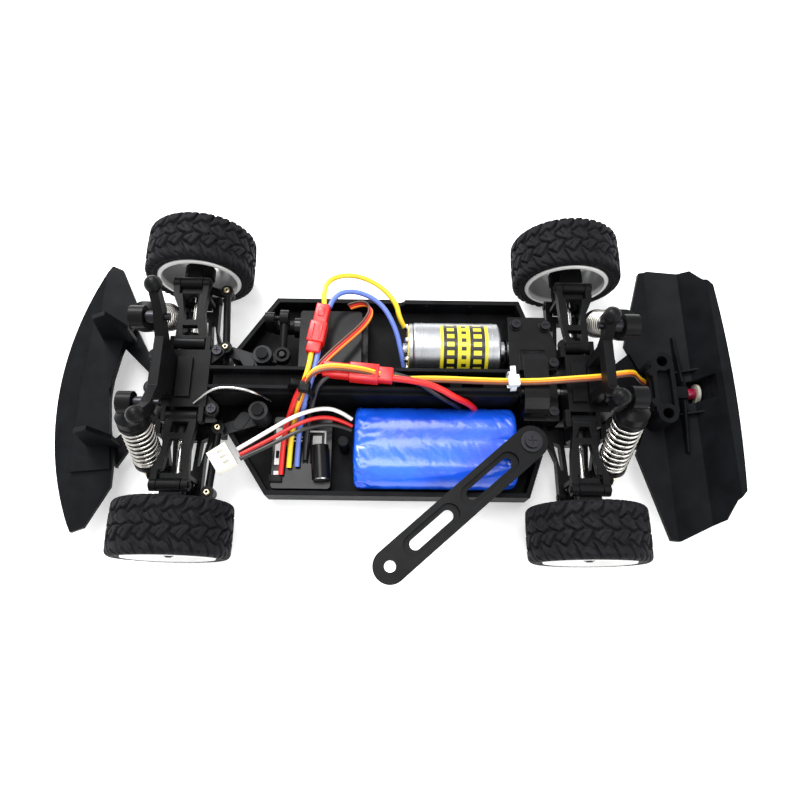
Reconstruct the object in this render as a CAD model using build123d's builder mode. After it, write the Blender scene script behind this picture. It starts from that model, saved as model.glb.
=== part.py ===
"""Bare chassis of a small four-wheel-drive radio-controlled on-road car, body shell off.

Millimetres. +X points to the front, +Y to the car's left, +Z up.
The origin is the centre of the tub's underside, midway between the axles.
"""
from build123d import *
import os
from math import atan2, cos, degrees, hypot, pi, radians, sin, tan

os.makedirs("parts", exist_ok=True)

# --- driving dimensions ---------------------------------------------------------------
AXLE_X = 82.5          # wheelbase 165
WHEEL_Y = 60.5         # track 121
WHEEL_Z = 18.0         # axle height over the tub's underside
TYRE_R = 24.0
TYRE_W = 22.0
RIM_R = 18.0           # outside of the rim's barrel
RIM_WALL = 1.6

ARM_IN_Y = 16.0        # inner hinge of both arms
ARM_OUT_Y = 44.0       # outer hinge of both arms
LOWER_Z = 8.0
UPPER_Z = 27.0
KINGPIN_Y = 47.5
HINGE_R = 1.25         # hinge pins
HINGE_HOLE_R = 1.30
AXLE_R = 2.5

SHOCK_DX = 12.3        # shocks stand this far outboard of each axle, along X
SHOCK_FOOT = (35.5, 10.0)               # Y, Z of the lower shock stud
SHOCK_TOP = {1: (17.5, 49.5), -1: (14.5, 54.0)}   # Y, Z of the top pin, front and rear
SHOCK_TURNS = {1: 9, -1: 10}
STUD_R = 1.5
SPRING_R = 5.7         # mean radius of the coils
SPRING_WIRE_R = 0.5
CAP_END = 12.0         # from the top pin to the underside of the cap
CUP_BACK = 10.0        # from the lower stud back to the spring cup

TUB_FRONT = 66.0
TUB_FRONT_WIDE = 48.0
TUB_REAR_WIDE = -62.0
TUB_REAR = -71.0
TUB_HALF = 45.0
TUB_WALL = 2.0
TUB_RIM_Z = 12.0
FLOOR = 2.0
NOSE_X = 104.0
NOSE_HALF = 12.0

SHAFT_Z = 16.0         # centre drive shaft
SHAFT_R = 2.0
GEAR_MODULE = 0.5
SPUR_TEETH = 48
PINION_TEETH = 28
SPUR_X = (-65.6, -61.2)
MOTOR_Z = 14.6
GEAR_CENTRES = GEAR_MODULE * (SPUR_TEETH + PINION_TEETH) / 2
MOTOR_Y = -(GEAR_CENTRES**2 - (SHAFT_Z - MOTOR_Z) ** 2) ** 0.5
MOTOR_R = 12.2
MOTOR_X = (-50.5, -13.0)

POST = (50.7, 12.4)    # bell crank posts, X and Y
CRANK_LINK_X = 58.5    # cross link pins
CRANK_TIE = (68.2, 18.1)
TIE_OUT = (70.0, 45.2)
TIE_Z = 16.3
LINK_X = 42.2
LINK_Z = 24.0
SERVO_Y = -29.4
HORN_Z = 14.0

BATTERY = ((-57.4, 12.0), (6.4, 42.2), (2.2, 20.0))
STRAP_PIVOT = (-60.9, 24.4)
STRAP_TIP = (-4.1, 73.8)

CORNERS = [("front_left", 1, 1), ("front_right", 1, -1), ("rear_left", -1, 1), ("rear_right", -1, -1)]
COVER_SCREWS = [(-57.2, -27.2, 25.9), (-69.6, -26.6, 25.9), (-71.4, 10.8, 22.9), (-72.0, -9.6, 25.9)]
UPPER_BACK = {1: -8.2, -1: -5.4}     # inboard end of the upper arm's hinge barrel, front and rear


def rod(start, end, radius, mode=Mode.ADD):
    """A round bar between two points."""
    line = Vector(end) - Vector(start)
    with Locations(Plane(origin=start, z_dir=line)):
        Cylinder(radius, line.length, align=(Align.CENTER, Align.CENTER, Align.MIN), mode=mode)


def cone(start, end, r_start, r_end, mode=Mode.ADD):
    """A tapered round bar between two points."""
    line = Vector(end) - Vector(start)
    with Locations(Plane(origin=start, z_dir=line)):
        Cone(r_start, r_end, line.length, align=(Align.CENTER, Align.CENTER, Align.MIN), mode=mode)


def block(x, y, z, mode=Mode.ADD):
    """A box between pairs of limits along X, Y and Z."""
    (x0, x1), (y0, y1), (z0, z1) = sorted(x), sorted(y), sorted(z)
    with Locations(((x0 + x1) / 2, (y0 + y1) / 2, (z0 + z1) / 2)):
        Box(x1 - x0, y1 - y0, z1 - z0, mode=mode)


def bar(start, end, width, z):
    """A flat round-ended link between two X, Y points, from z[0] to z[1], as its own part."""
    middle = ((start[0] + end[0]) / 2, (start[1] + end[1]) / 2)
    run = hypot(end[0] - start[0], end[1] - start[1])
    turn = degrees(atan2(end[1] - start[1], end[0] - start[0]))
    with BuildPart() as link:
        with BuildSketch(Plane.XY.offset(z[0])):
            with Locations(middle):
                SlotCenterToCenter(run, width, rotation=turn)
        extrude(amount=z[1] - z[0])
    return link.part


def plate(points, z):
    """A flat plate with the given X, Y outline, as its own part."""
    with BuildPart() as flat:
        with BuildSketch(Plane.XY.offset(z[0])):
            with BuildLine():
                Polyline(*points, close=True)
            make_face()
        extrude(amount=z[1] - z[0])
    return flat.part


def upright(points, x):
    """A plate that stands across the car, with a Y, Z outline, from x[0] to x[1]."""
    with BuildPart() as wall:
        with BuildSketch(Plane.YZ.offset(x[0])):
            with BuildLine():
                Polyline(*points, close=True)
            make_face()
        extrude(amount=x[1] - x[0])
    return wall.part


def fin(points, y):
    """A plate that stands along the car, with an X, Z outline, from y[0] to y[1]."""
    with BuildPart() as side:
        with BuildSketch(Plane.XZ.offset(-y[0])):
            with BuildLine():
                Polyline(*points, close=True)
            make_face()
        extrude(amount=-(y[1] - y[0]))
    return side.part


def mirrored(half):
    """A closed outline from its half with a positive first number."""
    return half + [(-a, b) for a, b in reversed(half) if a > 0.001]


def bend_radii(points):
    """The largest tangent arc that each corner of a route has room for."""
    radii = []
    for a, b, c in zip(points, points[1:], points[2:]):
        back, on = Vector(b) - Vector(a), Vector(c) - Vector(b)
        turn = radians(back.get_angle(on))
        radii.append(0.45 * min(back.length, on.length) / tan(turn / 2))
    return radii


def lead(points, diameter):
    """An insulated wire along a route of straight runs joined by tangent arcs."""
    radii = bend_radii(points)
    print("lead bends", [round(r, 1) for r in radii])
    with BuildPart() as wire:
        with BuildLine() as route:
            FilletPolyline(*points, radius=radii)
        start = route.line ^ 0
        with BuildSketch(Plane(origin=start.position, z_dir=route.line % 0)):
            Circle(diameter / 2)
        sweep()
    return wire.part


def screw(x, y, top, direction=(0, 0, 1), length=8.0, head_r=2.0):
    """A round-headed cross-recess screw, its head's underside at `top` along Z."""
    axis = Vector(direction)
    seat = Vector(x, y, top)
    with BuildPart() as bolt:
        rod(seat, seat + axis * 1.2, head_r)
        rod(seat - axis * length, seat, head_r * 0.5)
        for turn in (0, 90):
            with Locations(Plane(origin=seat + axis * 1.2, z_dir=axis) * Location((0, 0, 0), (0, 0, turn))):
                Box(head_r * 1.2, 0.4, 1.0, mode=Mode.SUBTRACT)
    return bolt.part


def finish(builder, name):
    """Label the piece and write its file."""
    builder.part.label = name
    export_step(builder.part, f"parts/{name}.step")


# --- frame ----------------------------------------------------------------------------
def tub_outline(inset):
    """Half of the tub's outline in plan, moved inwards by `inset`."""
    front_slope = hypot(TUB_FRONT - TUB_FRONT_WIDE, TUB_HALF - 18) / (TUB_HALF - 18)
    rear_slope = hypot(TUB_REAR_WIDE - TUB_REAR, TUB_HALF - 20) / (TUB_HALF - 20)
    front_shift = inset * (front_slope - 1) * (TUB_HALF - 18) / (TUB_FRONT - TUB_FRONT_WIDE)
    rear_shift = inset * (rear_slope - 1) * (TUB_HALF - 20) / (TUB_REAR_WIDE - TUB_REAR)
    corner_f = inset * (front_slope - (TUB_FRONT - TUB_FRONT_WIDE) / (TUB_HALF - 18))
    corner_r = inset * (rear_slope - (TUB_REAR_WIDE - TUB_REAR) / (TUB_HALF - 20))
    return [
        (TUB_FRONT - inset, 18 - front_shift),
        (TUB_FRONT_WIDE - corner_f, TUB_HALF - inset),
        (TUB_REAR_WIDE + corner_r, TUB_HALF - inset),
        (TUB_REAR + inset, 20 - rear_shift),
    ]


def whole_outline(half):
    """The outline on both sides of the car's centre line."""
    return half + [(x, -y) for x, y in reversed(half)]


def build_tub():
    lug_dx = (12.0, 14.5)
    with BuildPart() as tub:
        with BuildSketch():
            with BuildLine():
                Polyline(*whole_outline(tub_outline(0)), close=True)
            make_face()
        extrude(amount=TUB_RIM_Z)
        with BuildSketch(Plane.XY.offset(FLOOR)):
            with BuildLine():
                Polyline(*whole_outline(tub_outline(TUB_WALL)), close=True)
            make_face()
        extrude(amount=TUB_RIM_Z, mode=Mode.SUBTRACT)
        for end in (1, -1):
            block((end * 60, end * NOSE_X), (-NOSE_HALF, NOSE_HALF), (0, 3))
            block((end * 62, end * 73), (-14, 14), (FLOOR, 20), Mode.SUBTRACT)
            for side in (1, -1):
                for dx in (lug_dx, (-lug_dx[0], -lug_dx[1])):
                    x = (end * AXLE_X + dx[0], end * AXLE_X + dx[1])
                    block(x, (side * 12.7, side * 19), (0, 10.8))
                x = end * AXLE_X
                rod((x - 15, side * ARM_IN_Y, LOWER_Z), (x + 15, side * ARM_IN_Y, LOWER_Z), HINGE_HOLE_R,
                    Mode.SUBTRACT)
        # steering posts, with a groove under each cap
        for side in (1, -1):
            rod((POST[0], side * POST[1], FLOOR), (POST[0], side * POST[1], 25.6), 2.0)
            rod((POST[0], side * POST[1], 25.0), (POST[0], side * POST[1], 26.4), 2.5)
        # cradle ribs of the battery bay, and the post that the strap's eye drops onto
        for x in (-40.0, -20.0, 0.0):
            block((x - 0.8, x + 0.8), (-44, -42.6), (FLOOR, 10))
        rod((15.8, 23.2, FLOOR), (15.8, 23.2, 18.0), 2.1)
        rod((STRAP_PIVOT[0], STRAP_PIVOT[1], FLOOR), (STRAP_PIVOT[0], STRAP_PIVOT[1], 22.4), 3.1)
        # rounded notch in the far wall for the motor leads
        rod((-7.0, -TUB_HALF - 1, TUB_RIM_Z), (-7.0, -TUB_HALF + 3, TUB_RIM_Z), 3.0, Mode.SUBTRACT)
    finish(tub, "chassis_tub")


def build_spine():
    with BuildPart() as spine:
        block((-56.5, 52), (-6, 6), (FLOOR + 0.1, 27))
        block((50, 70.5), (-6, 6), (10, 27))
        block((-56.5, 70.5), (-4.8, 4.8), (20, 30.6))
        block((-57, 71), (-3.4, 3.4), (24.5, 31), Mode.SUBTRACT)
        block((-58, 71), (-3.2, 3.2), (12.4, 19.6), Mode.SUBTRACT)
        for x in (-38.0, -24.0, -10.0):
            block((x - 4.5, x + 4.5), (-2.0, 2.0), (19, 25), Mode.SUBTRACT)
    finish(spine, "centre_spine")


def build_gearboxes():
    half = 12.4
    near_x = {1: 71.2, -1: 76.4}      # end next to the spine
    with BuildPart() as boxes:
        for end in (1, -1):
            x = end * AXLE_X
            block((end * near_x[end], end * 95.0), (-half, half), (3.1, 28.5))
            # raised housing over the differential
            block((end * 78.0, end * 84.0), (-8.5, 8.5), (28, 30.2))
            block((end * (near_x[end] + 2), end * 93.0), (-half + 2, half - 2), (6.0, 26.0), Mode.SUBTRACT)
            rod((end * 70, 0, SHAFT_Z), (end * 80, 0, SHAFT_Z), SHAFT_R + 0.5, Mode.SUBTRACT)
            for side in (1, -1):
                # drive shaft bosses
                rod((x, side * (half - 2.2), WHEEL_Z), (x, side * 22.5, WHEEL_Z), 5.5)
                rod((x, side * 15.5, WHEEL_Z), (x, side * 23, WHEEL_Z), 3.4, Mode.SUBTRACT)
                # lugs for the upper hinge pins
                for dx in ((UPPER_BACK[end] - 2.4, UPPER_BACK[end] - 0.3), (4.6, 6.4)):
                    block((x + end * dx[0], x + end * dx[1]), (side * 11.5, side * 18.6), (24.4, 28.5))
                rod((x - 12, side * ARM_IN_Y, UPPER_Z), (x + 12, side * ARM_IN_Y, UPPER_Z), HINGE_HOLE_R,
                    Mode.SUBTRACT)
        for side in (1, -1):
            # front ears with a screw each
            add(bar((72.6, side * 9.6), (69.2, side * 12.7), 6.0, (24.6, 26.6)))
            rod((69.2, side * 12.7, 24), (69.2, side * 12.7, 27), 1.05, Mode.SUBTRACT)
    finish(boxes, "gearbox_housings")


def build_towers():
    front = [(0, 30.4), (9, 30.4), (9, 38), (15.5, 45), (21.5, 48.5), (27.3, 59.5), (23.9, 61.6),
             (18.5, 53.5), (10, 48), (0, 48)]
    rear = [(0, 30.4), (9.5, 30.4), (9.5, 44), (12, 49.5), (19.2, 51), (19.2, 57.5), (13, 57.5), (9, 52), (0, 52)]
    ball = {1: (25.6, 61.0), -1: (16.1, 59.3)}
    with BuildPart() as towers:
        for end, outline in ((1, front), (-1, rear)):
            add(upright(mirrored(outline), sorted((end * 84.6, end * 88.2))))
            # foot with two screws, outboard of the plate
            block((end * 84.6, end * 95.0), (-9.5, 9.5), (28.6, 31.0))
            for side in (1, -1):
                rod((end * 91.5, side * 6.7, 30), (end * 91.5, side * 6.7, 36), 3.0)
                y, z = ball[end]
                with Locations((end * 86.4, side * y, z)):
                    Sphere(3.4)
        # way through the rear tower for the lamp's lead
        block((-90, -83), (-5.5, 5.5), (31.0, 46.0), Mode.SUBTRACT)
        for end in (1, -1):
            for side in (1, -1):
                y, z = SHOCK_TOP[end]
                rod((end * 82, side * y, z), (end * 91, side * y, z), STUD_R + 0.05, Mode.SUBTRACT)
                rod((end * 91.5, side * 6.7, 32), (end * 91.5, side * 6.7, 37), 1.05, Mode.SUBTRACT)
        block((84.0, 96.0), (-11, 11), (28, 30.3), Mode.SUBTRACT)
        block((-96.0, -84.0), (-11, 11), (28, 30.3), Mode.SUBTRACT)
    finish(towers, "shock_towers")


def build_front_bumper():
    half_y = 61.0
    with BuildPart() as bumper:
        with BuildSketch():
            with BuildLine():
                ThreePointArc((126.0, -half_y), (142.5, 0), (126.0, half_y))
                Polyline((126.0, half_y), (121.0, 59.0), (112.5, 42.0), (113.0, 27.0))
                ThreePointArc((113.0, 27.0), (118.0, 0), (113.0, -27.0))
                Polyline((113.0, -27.0), (112.5, -42.0), (121.0, -59.0), (126.0, -half_y))
            make_face()
        extrude(amount=20)
        add(fin([(108, 8), (128, 8.3), (144, 3.6), (144, 6.0), (128, 10.6), (108, 10.3)], (-62, 62)),
            mode=Mode.INTERSECT)
        add(plate([(113.2, -35), (129.5, -36.5), (131.0, 0), (129.5, 36.5), (113.2, 35), (118.4, 0)], (8.6, 12.0)))
        for side in (1, -1):
            y = side * 23.3
            add(fin([(110.5, 9), (109.4, 23.4), (113.7, 37.7), (120.3, 33.7), (125, 9)], sorted((y, y + side * 1.8))))
            # mounting leg down to the nose plate
            leg = [(97.8, side * 4), (97.8, side * 11), (106, side * 20), (113.5, side * 33), (117, side * 22)]
            add(plate(leg, (3.1, 5.6)))
            add(plate([(112.9, side * 33), (113.6, side * 24), (117, side * 22), (116.5, side * 31)], (3.1, 9)))
            rod((100.5, side * 6.7, 3), (100.5, side * 6.7, 6), 1.3, Mode.SUBTRACT)
    finish(bumper, "front_bumper")


def build_rear_bumper():
    profile = [(-100, 8.0), (-122, 10.6), (-133, 19.0), (-139.6, 32.0), (-144.5, 32.0), (-144.5, 29.6),
               (-141.5, 29.4), (-135.0, 17.4), (-123, 8.2), (-100, 5.8)]
    with BuildPart() as bumper:
        with BuildSketch():
            with BuildLine():
                ThreePointArc((-141.8, -44.5), (-143.8, 0), (-141.8, 44.5))
                Polyline((-141.8, 44.5), (-138.6, 48.0), (-136.0, 54.8), (-123.0, 61.8), (-119.5, 61.4),
                         (-109.5, 25.0), (-114.0, 14.0))
                ThreePointArc((-114.0, 14.0), (-118.5, 0), (-114.0, -14.0))
                Polyline((-114.0, -14.0), (-109.5, -25.0), (-119.5, -61.4), (-123.0, -61.8), (-136.0, -54.8),
                         (-138.6, -48.0), (-141.8, -44.5))
            make_face()
        extrude(amount=40)
        add(fin(profile, (-63, 63)), mode=Mode.INTERSECT)
        # bracket that carries the bumper, with its two body holes
        for side in (1, -1):
            rod((-118.4, side * 11.4, 8), (-118.4, side * 11.4, 25.2), 4.2)
            add(bar((-113.5, side * 6.5), (-118.4, side * 11.4), 3.0, (22.0, 25.2)))
        block((-123.0, -113.0), (-10, 10), (19.5, 22.5))
        for x in (-122.2, -114.6):
            block((x - 0.9, x + 0.9), (-11, 11), (19.5, 25.2))
        for side in (1, -1):
            rod((-118.4, side * 11.4, 12), (-118.4, side * 11.4, 26), 2.3, Mode.SUBTRACT)
            # thin stiffening ribs of the shell
            y = side * 9.0
            add(fin([(-121, 9), (-134, 19), (-137, 24), (-121, 13)], sorted((y, y + side * 0.8))))
            add(upright([(side * 4, 13), (side * 4, 20.4), (side * 26, 17.4), (side * 26, 13)], (-128.6, -127.8)))
            # mounting leg down to the tail plate
            leg = [(-97.8, side * 4), (-97.8, side * 11), (-112, side * 22), (-119, side * 18), (-119, side * 4)]
            add(plate(leg, (3.1, 8.0)))
            rod((-100.5, side * 6.7, 3), (-100.5, side * 6.7, 9), 1.3, Mode.SUBTRACT)
        # lamp socket
        block((-131.0, -123), (-2.6, 2.6), (11.0, 18.5))
        block((-138.2, -130.9), (-4.9, 4.9), (4, 31), Mode.SUBTRACT)
    finish(bumper, "rear_bumper")


def build_gear_cover():
    """Stepped cover over the pinion and the spur gear, with a band-shaped dome over the gear."""
    base, tall, short = 12.3, 24.8, 21.8
    far = [(-53.8, -6.8), (-53.8, -31), (-70, -31), (-74, -17), (-74, -6.8)]
    far_in = [(-55.2, -8.2), (-55.2, -29.6), (-69.0, -29.6), (-72.6, -16.8), (-72.6, -5.6), (-59.3, -5.6)]
    near = [(-74, 14.6), (-59.2, 14.6), (-58.2, 6.4), (-58.0, -6.9), (-74, -6.9)]
    near_in = [(-72.6, 13.2), (-60.5, 13.2), (-59.5, 6.4), (-59.3, -9.0), (-72.6, -9.0)]
    arch, middle, half, rise = [], -1.5, 15.2, 10.4
    for step in range(17):
        a = pi * step / 16
        arch.append((middle + half * cos(a), 20.2 + rise * sin(a) ** 0.62))
    with BuildPart() as cover:
        add(plate(far, (base, tall)))
        add(plate(near, (base, short)))
        add(upright([(middle + half, base), *arch, (middle - half, base)], (-68.6, -58.4)))
        add(plate(far_in, (base - 1, tall - 1.4)), mode=Mode.SUBTRACT)
        add(plate(near_in, (base - 1, short - 1.4)), mode=Mode.SUBTRACT)
        # clear of the shaft and of the motor's nose
        block((-80, -50), (-3.5, 3.5), (10, SHAFT_Z + 3.5), Mode.SUBTRACT)
        rod((-60, MOTOR_Y, MOTOR_Z), (-50, MOTOR_Y, MOTOR_Z), 5.2, Mode.SUBTRACT)
        for x, y, top in COVER_SCREWS:
            rod((x, y, top - 3), (x, y, top - 0.1), 2.6)
            rod((x, y, top - 6), (x, y, top + 0.1), 1.05, Mode.SUBTRACT)
        rod((-67.2, 0, SHAFT_Z), (-59.6, 0, SHAFT_Z), 13.1, Mode.SUBTRACT)
    finish(cover, "gear_cover")


# --- drive ----------------------------------------------------------------------------
def gear(teeth, phase, x, y, z, width):
    """A spur gear of short straight-sided teeth on an axis along X, its first tooth at `phase` degrees."""
    pitch_r = GEAR_MODULE * teeth / 2
    root, tip = pitch_r - 0.62, pitch_r + 0.45
    root_half, tip_half = 0.42, 0.17
    with BuildPart() as wheel:
        with BuildSketch(Plane(origin=(x, y, z), x_dir=(0, 1, 0), z_dir=(1, 0, 0))):
            Circle(root)
            with PolarLocations(0, teeth, start_angle=phase):
                Polygon((root - 0.3, -root_half), (tip, -tip_half), (tip, tip_half), (root - 0.3, root_half),
                        align=None)
        extrude(amount=width)
    return wheel.part


def build_drive():
    mesh = degrees(atan2(MOTOR_Z - SHAFT_Z, MOTOR_Y))
    with BuildPart() as shaft:
        rod((-81.0, 0, SHAFT_Z), (77.5, 0, SHAFT_Z), SHAFT_R)
        add(gear(SPUR_TEETH, mesh, SPUR_X[0], 0, SHAFT_Z, SPUR_X[1] - SPUR_X[0]))
        rod((SPUR_X[0] - 1.2, 0, SHAFT_Z), (SPUR_X[1] + 1.2, 0, SHAFT_Z), 4.5)
        for a, b in ((74.5, 78.5), (-79.5, -83.5)):
            cone((a, 0, SHAFT_Z), (b, 0, SHAFT_Z), 4.2, 2.6)
    finish(shaft, "centre_shaft")

    half_tooth = 180.0 / PINION_TEETH
    with BuildPart() as pinion:
        add(gear(PINION_TEETH, mesh + 180 + half_tooth, -66.2, MOTOR_Y, MOTOR_Z, 5.6))
        rod((-67.2, MOTOR_Y, MOTOR_Z), (-59.0, MOTOR_Y, MOTOR_Z), 3.0)
        rod((-68.0, MOTOR_Y, MOTOR_Z), (-53.4, MOTOR_Y, MOTOR_Z), 1.1)
    finish(pinion, "motor_pinion")

    with BuildPart() as motor:
        rod((MOTOR_X[0], MOTOR_Y, MOTOR_Z), (MOTOR_X[1], MOTOR_Y, MOTOR_Z), MOTOR_R)
        fillet(motor.edges().filter_by(GeomType.CIRCLE), 1.2)
        rod((-53.2, MOTOR_Y, MOTOR_Z), (MOTOR_X[0] + 1, MOTOR_Y, MOTOR_Z), 4.6)
    with BuildPart() as motor_set:
        add(motor.part)
        rod((MOTOR_X[1] + 0.02, MOTOR_Y, MOTOR_Z), (MOTOR_X[1] + 1.5, MOTOR_Y, MOTOR_Z), MOTOR_R - 0.4)
        for y, z in ((-9.3, 17.5), (-27.6, 20.0)):
            rod((MOTOR_X[1] + 1.5, y, z), (MOTOR_X[1] + 3.4, y, z), 1.1)
        rod((MOTOR_X[1] + 1.5, MOTOR_Y, MOTOR_Z), (MOTOR_X[1] + 4.0, MOTOR_Y, MOTOR_Z), 3.4)
    finish(motor_set, "motor")


def build_drive_shaft(name, end, side):
    """Dogbone between the gearbox and the wheel axle, a ball at each end."""
    x, inner, outer = end * AXLE_X, side * 20.0, side * (KINGPIN_Y - 1.3)
    with BuildPart() as bone:
        rod((x, inner, WHEEL_Z), (x, outer, WHEEL_Z), 1.1)
        for y in (inner, outer):
            with Locations((x, y, WHEEL_Z)):
                Sphere(2.0)
            rod((x, y, WHEEL_Z - 2.4), (x, y, WHEEL_Z + 2.4), 0.6)
    finish(bone, f"{name}_drive_shaft")


# --- wheels ---------------------------------------------------------------------------
def build_wheel(name, end, side):
    x, inner, outer = end * AXLE_X, side * (WHEEL_Y - TYRE_W / 2), side * (WHEEL_Y + TYRE_W / 2)
    hub = Plane(origin=(x, 0, WHEEL_Z), x_dir=(0, side, 0), z_dir=(1, 0, 0))
    low, high = WHEEL_Y - TYRE_W / 2, WHEEL_Y + TYRE_W / 2
    spin = Axis((x, 0, WHEEL_Z), (0, 1, 0))
    up = side
    with BuildPart() as tyre:
        with BuildSketch(hub):
            with BuildLine():
                Polyline((low + 1.0, up * (RIM_R + 0.05)), (low, up * 20.0), (low, up * 21.6))
                ThreePointArc((low, up * 21.6), (low + 1.0, up * 23.4), (low + 3.0, up * TYRE_R))
                Line((low + 3.0, up * TYRE_R), (high - 3.0, up * TYRE_R))
                ThreePointArc((high - 3.0, up * TYRE_R), (high - 1.0, up * 23.4), (high, up * 21.6))
                Polyline((high, up * 21.6), (high, up * 20.0), (high - 1.0, up * (RIM_R + 0.05)),
                         (low + 1.0, up * (RIM_R + 0.05)))
            make_face()
        revolve(axis=spin)
    finish(tyre, f"{name}_tyre")

    with BuildPart() as rim:
        rod((x, inner, WHEEL_Z), (x, side * (high - 0.4), WHEEL_Z), RIM_R)
        rod((x, inner - side, WHEEL_Z), (x, side * (high - 6.4), WHEEL_Z), RIM_R - RIM_WALL, Mode.SUBTRACT)
        rod((x, side * (high - 4.0), WHEEL_Z), (x, side * (high + 1), WHEEL_Z), RIM_R - RIM_WALL, Mode.SUBTRACT)
        for turn in range(10):
            a = radians(36 * turn + 18)
            at = (x + 11.6 * cos(a), WHEEL_Z + 11.6 * sin(a))
            rod((at[0], side * (high - 8), at[1]), (at[0], side * (high + 1), at[1]), 2.5, Mode.SUBTRACT)
        rod((x, side * 56.4, WHEEL_Z), (x, side * (high - 2.0), WHEEL_Z), 5.2)
        rod((x, side * 50.4, WHEEL_Z), (x, side * 57, WHEEL_Z), AXLE_R)
        rod((x, side * 43.5, WHEEL_Z), (x, side * 50.6, WHEEL_Z), 4.0)
        rod((x, side * 43.0, WHEEL_Z), (x, side * 50.0, WHEEL_Z), 3.2, Mode.SUBTRACT)
        # nut on the outside
        rod((x, side * (high - 2.2), WHEEL_Z), (x, side * (high - 0.5), WHEEL_Z), 2.6)
    finish(rim, f"{name}_rim")


# --- suspension -----------------------------------------------------------------------
def build_arms(name, end, side):
    x0 = end * AXLE_X

    def at(dx, y):
        return (x0 + end * dx, side * y)

    lower_z = (5.6, 10.4)
    with BuildPart() as lower:
        add(plate([at(-11.5, 16), at(-11.5, 20), at(-8, 29), at(-7.8, 44), at(7.8, 44), at(8, 29), at(11.5, 20),
                   at(11.5, 16)], lower_z))
        add(plate([at(-4.2, 22), at(-3.4, 35), at(3.4, 35), at(4.2, 22)], (0, 12)), mode=Mode.SUBTRACT)
        for sign in (-1, 1):
            add(plate([at(sign * 9.0, 20.5), at(sign * 6.0, 22), at(sign * 5.2, 33), at(sign * 6.4, 33)],
                      (0, 12)), mode=Mode.SUBTRACT)
        block(*zip(at(-4.9, 38.4), at(4.9, 48)), (0, 14), Mode.SUBTRACT)
        rod((x0 - 11.5, side * ARM_IN_Y, LOWER_Z), (x0 + 11.5, side * ARM_IN_Y, LOWER_Z), 2.6)
        for sign in (-1, 1):
            xs = (x0 + sign * 4.9, x0 + sign * 7.8)
            rod((xs[0], side * ARM_OUT_Y, LOWER_Z), (xs[1], side * ARM_OUT_Y, LOWER_Z), 2.9)
        rod((x0 - 12, side * ARM_IN_Y, LOWER_Z), (x0 + 12, side * ARM_IN_Y, LOWER_Z), HINGE_HOLE_R, Mode.SUBTRACT)
        rod((x0 - 8.4, side * ARM_OUT_Y, LOWER_Z), (x0 + 8.4, side * ARM_OUT_Y, LOWER_Z), HINGE_R)
        # stud and boss for the foot of the shock
        y, z = SHOCK_FOOT
        rod((x0 + end * 6.0, side * y, 9.4), (x0 + end * 9.2, side * y, 9.4), 2.9)
        rod((x0 + end * 8.0, side * y, z), (x0 + end * (SHOCK_DX + 3.2), side * y, z), STUD_R)
    finish(lower, f"{name}_lower_arm")

    with BuildPart() as upper:
        upper_z = (25.2, 28.8)
        back = UPPER_BACK[end]
        add(plate([at(back, 16), at(back, 21), at(-6.8, 30), at(-7.6, 44), at(7.6, 44), at(7.4, 38), at(4.2, 31),
                   at(4.3, 16)], upper_z))
        add(plate([at(back + 2.8, 18.8), at(-4.4, 23.4), at(1.8, 23.4), at(1.2, 18.8)], (20, 32)), mode=Mode.SUBTRACT)
        add(plate([at(-3.6, 26), at(-3.8, 40), at(3.6, 40), at(1.4, 26)], (20, 32)), mode=Mode.SUBTRACT)
        block(*zip(at(-4.9, 38.4), at(4.9, 48)), (20, 32), Mode.SUBTRACT)
        rod((x0 + end * back, side * ARM_IN_Y, UPPER_Z), (x0 + end * 4.3, side * ARM_IN_Y, UPPER_Z), 2.4)
        for sign in (-1, 1):
            xs = (x0 + sign * 4.9, x0 + sign * 7.6)
            rod((xs[0], side * ARM_OUT_Y, UPPER_Z), (xs[1], side * ARM_OUT_Y, UPPER_Z), 2.6)
        rod((x0 - 12, side * ARM_IN_Y, UPPER_Z), (x0 + 12, side * ARM_IN_Y, UPPER_Z), HINGE_HOLE_R, Mode.SUBTRACT)
        rod((x0 - 8.2, side * ARM_OUT_Y, UPPER_Z), (x0 + 8.2, side * ARM_OUT_Y, UPPER_Z), HINGE_R)
    finish(upper, f"{name}_upper_arm")


def carrier_lugs(x0, side):
    """The two hinge lugs of a hub carrier, joined by a web with a hole for the drive shaft."""
    for z, r in ((LOWER_Z, 2.9), (UPPER_Z, 2.6)):
        rod((x0 - 4.6, side * ARM_OUT_Y, z), (x0 + 4.6, side * ARM_OUT_Y, z), r)
    block((x0 - 6.6, x0 + 6.6), (side * 39.2, side * 41.0), (12.2, 23.6))
    block((x0 - 4.5, x0 + 4.5), (side * 39.2, side * 44.0), (9.2, 11.5))
    block((x0 - 4.5, x0 + 4.5), (side * 39.2, side * 41.0), (9.2, 26.6))
    block((x0 - 4.5, x0 + 4.5), (side * 39.2, side * 44.0), (24.5, 26.6))
    rod((x0, side * 38, WHEEL_Z), (x0, side * 42, WHEEL_Z), 5.0, Mode.SUBTRACT)


def bore_lugs(x0, side):
    for z in (LOWER_Z, UPPER_Z):
        rod((x0 - 6, side * ARM_OUT_Y, z), (x0 + 6, side * ARM_OUT_Y, z), HINGE_HOLE_R, Mode.SUBTRACT)


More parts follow.
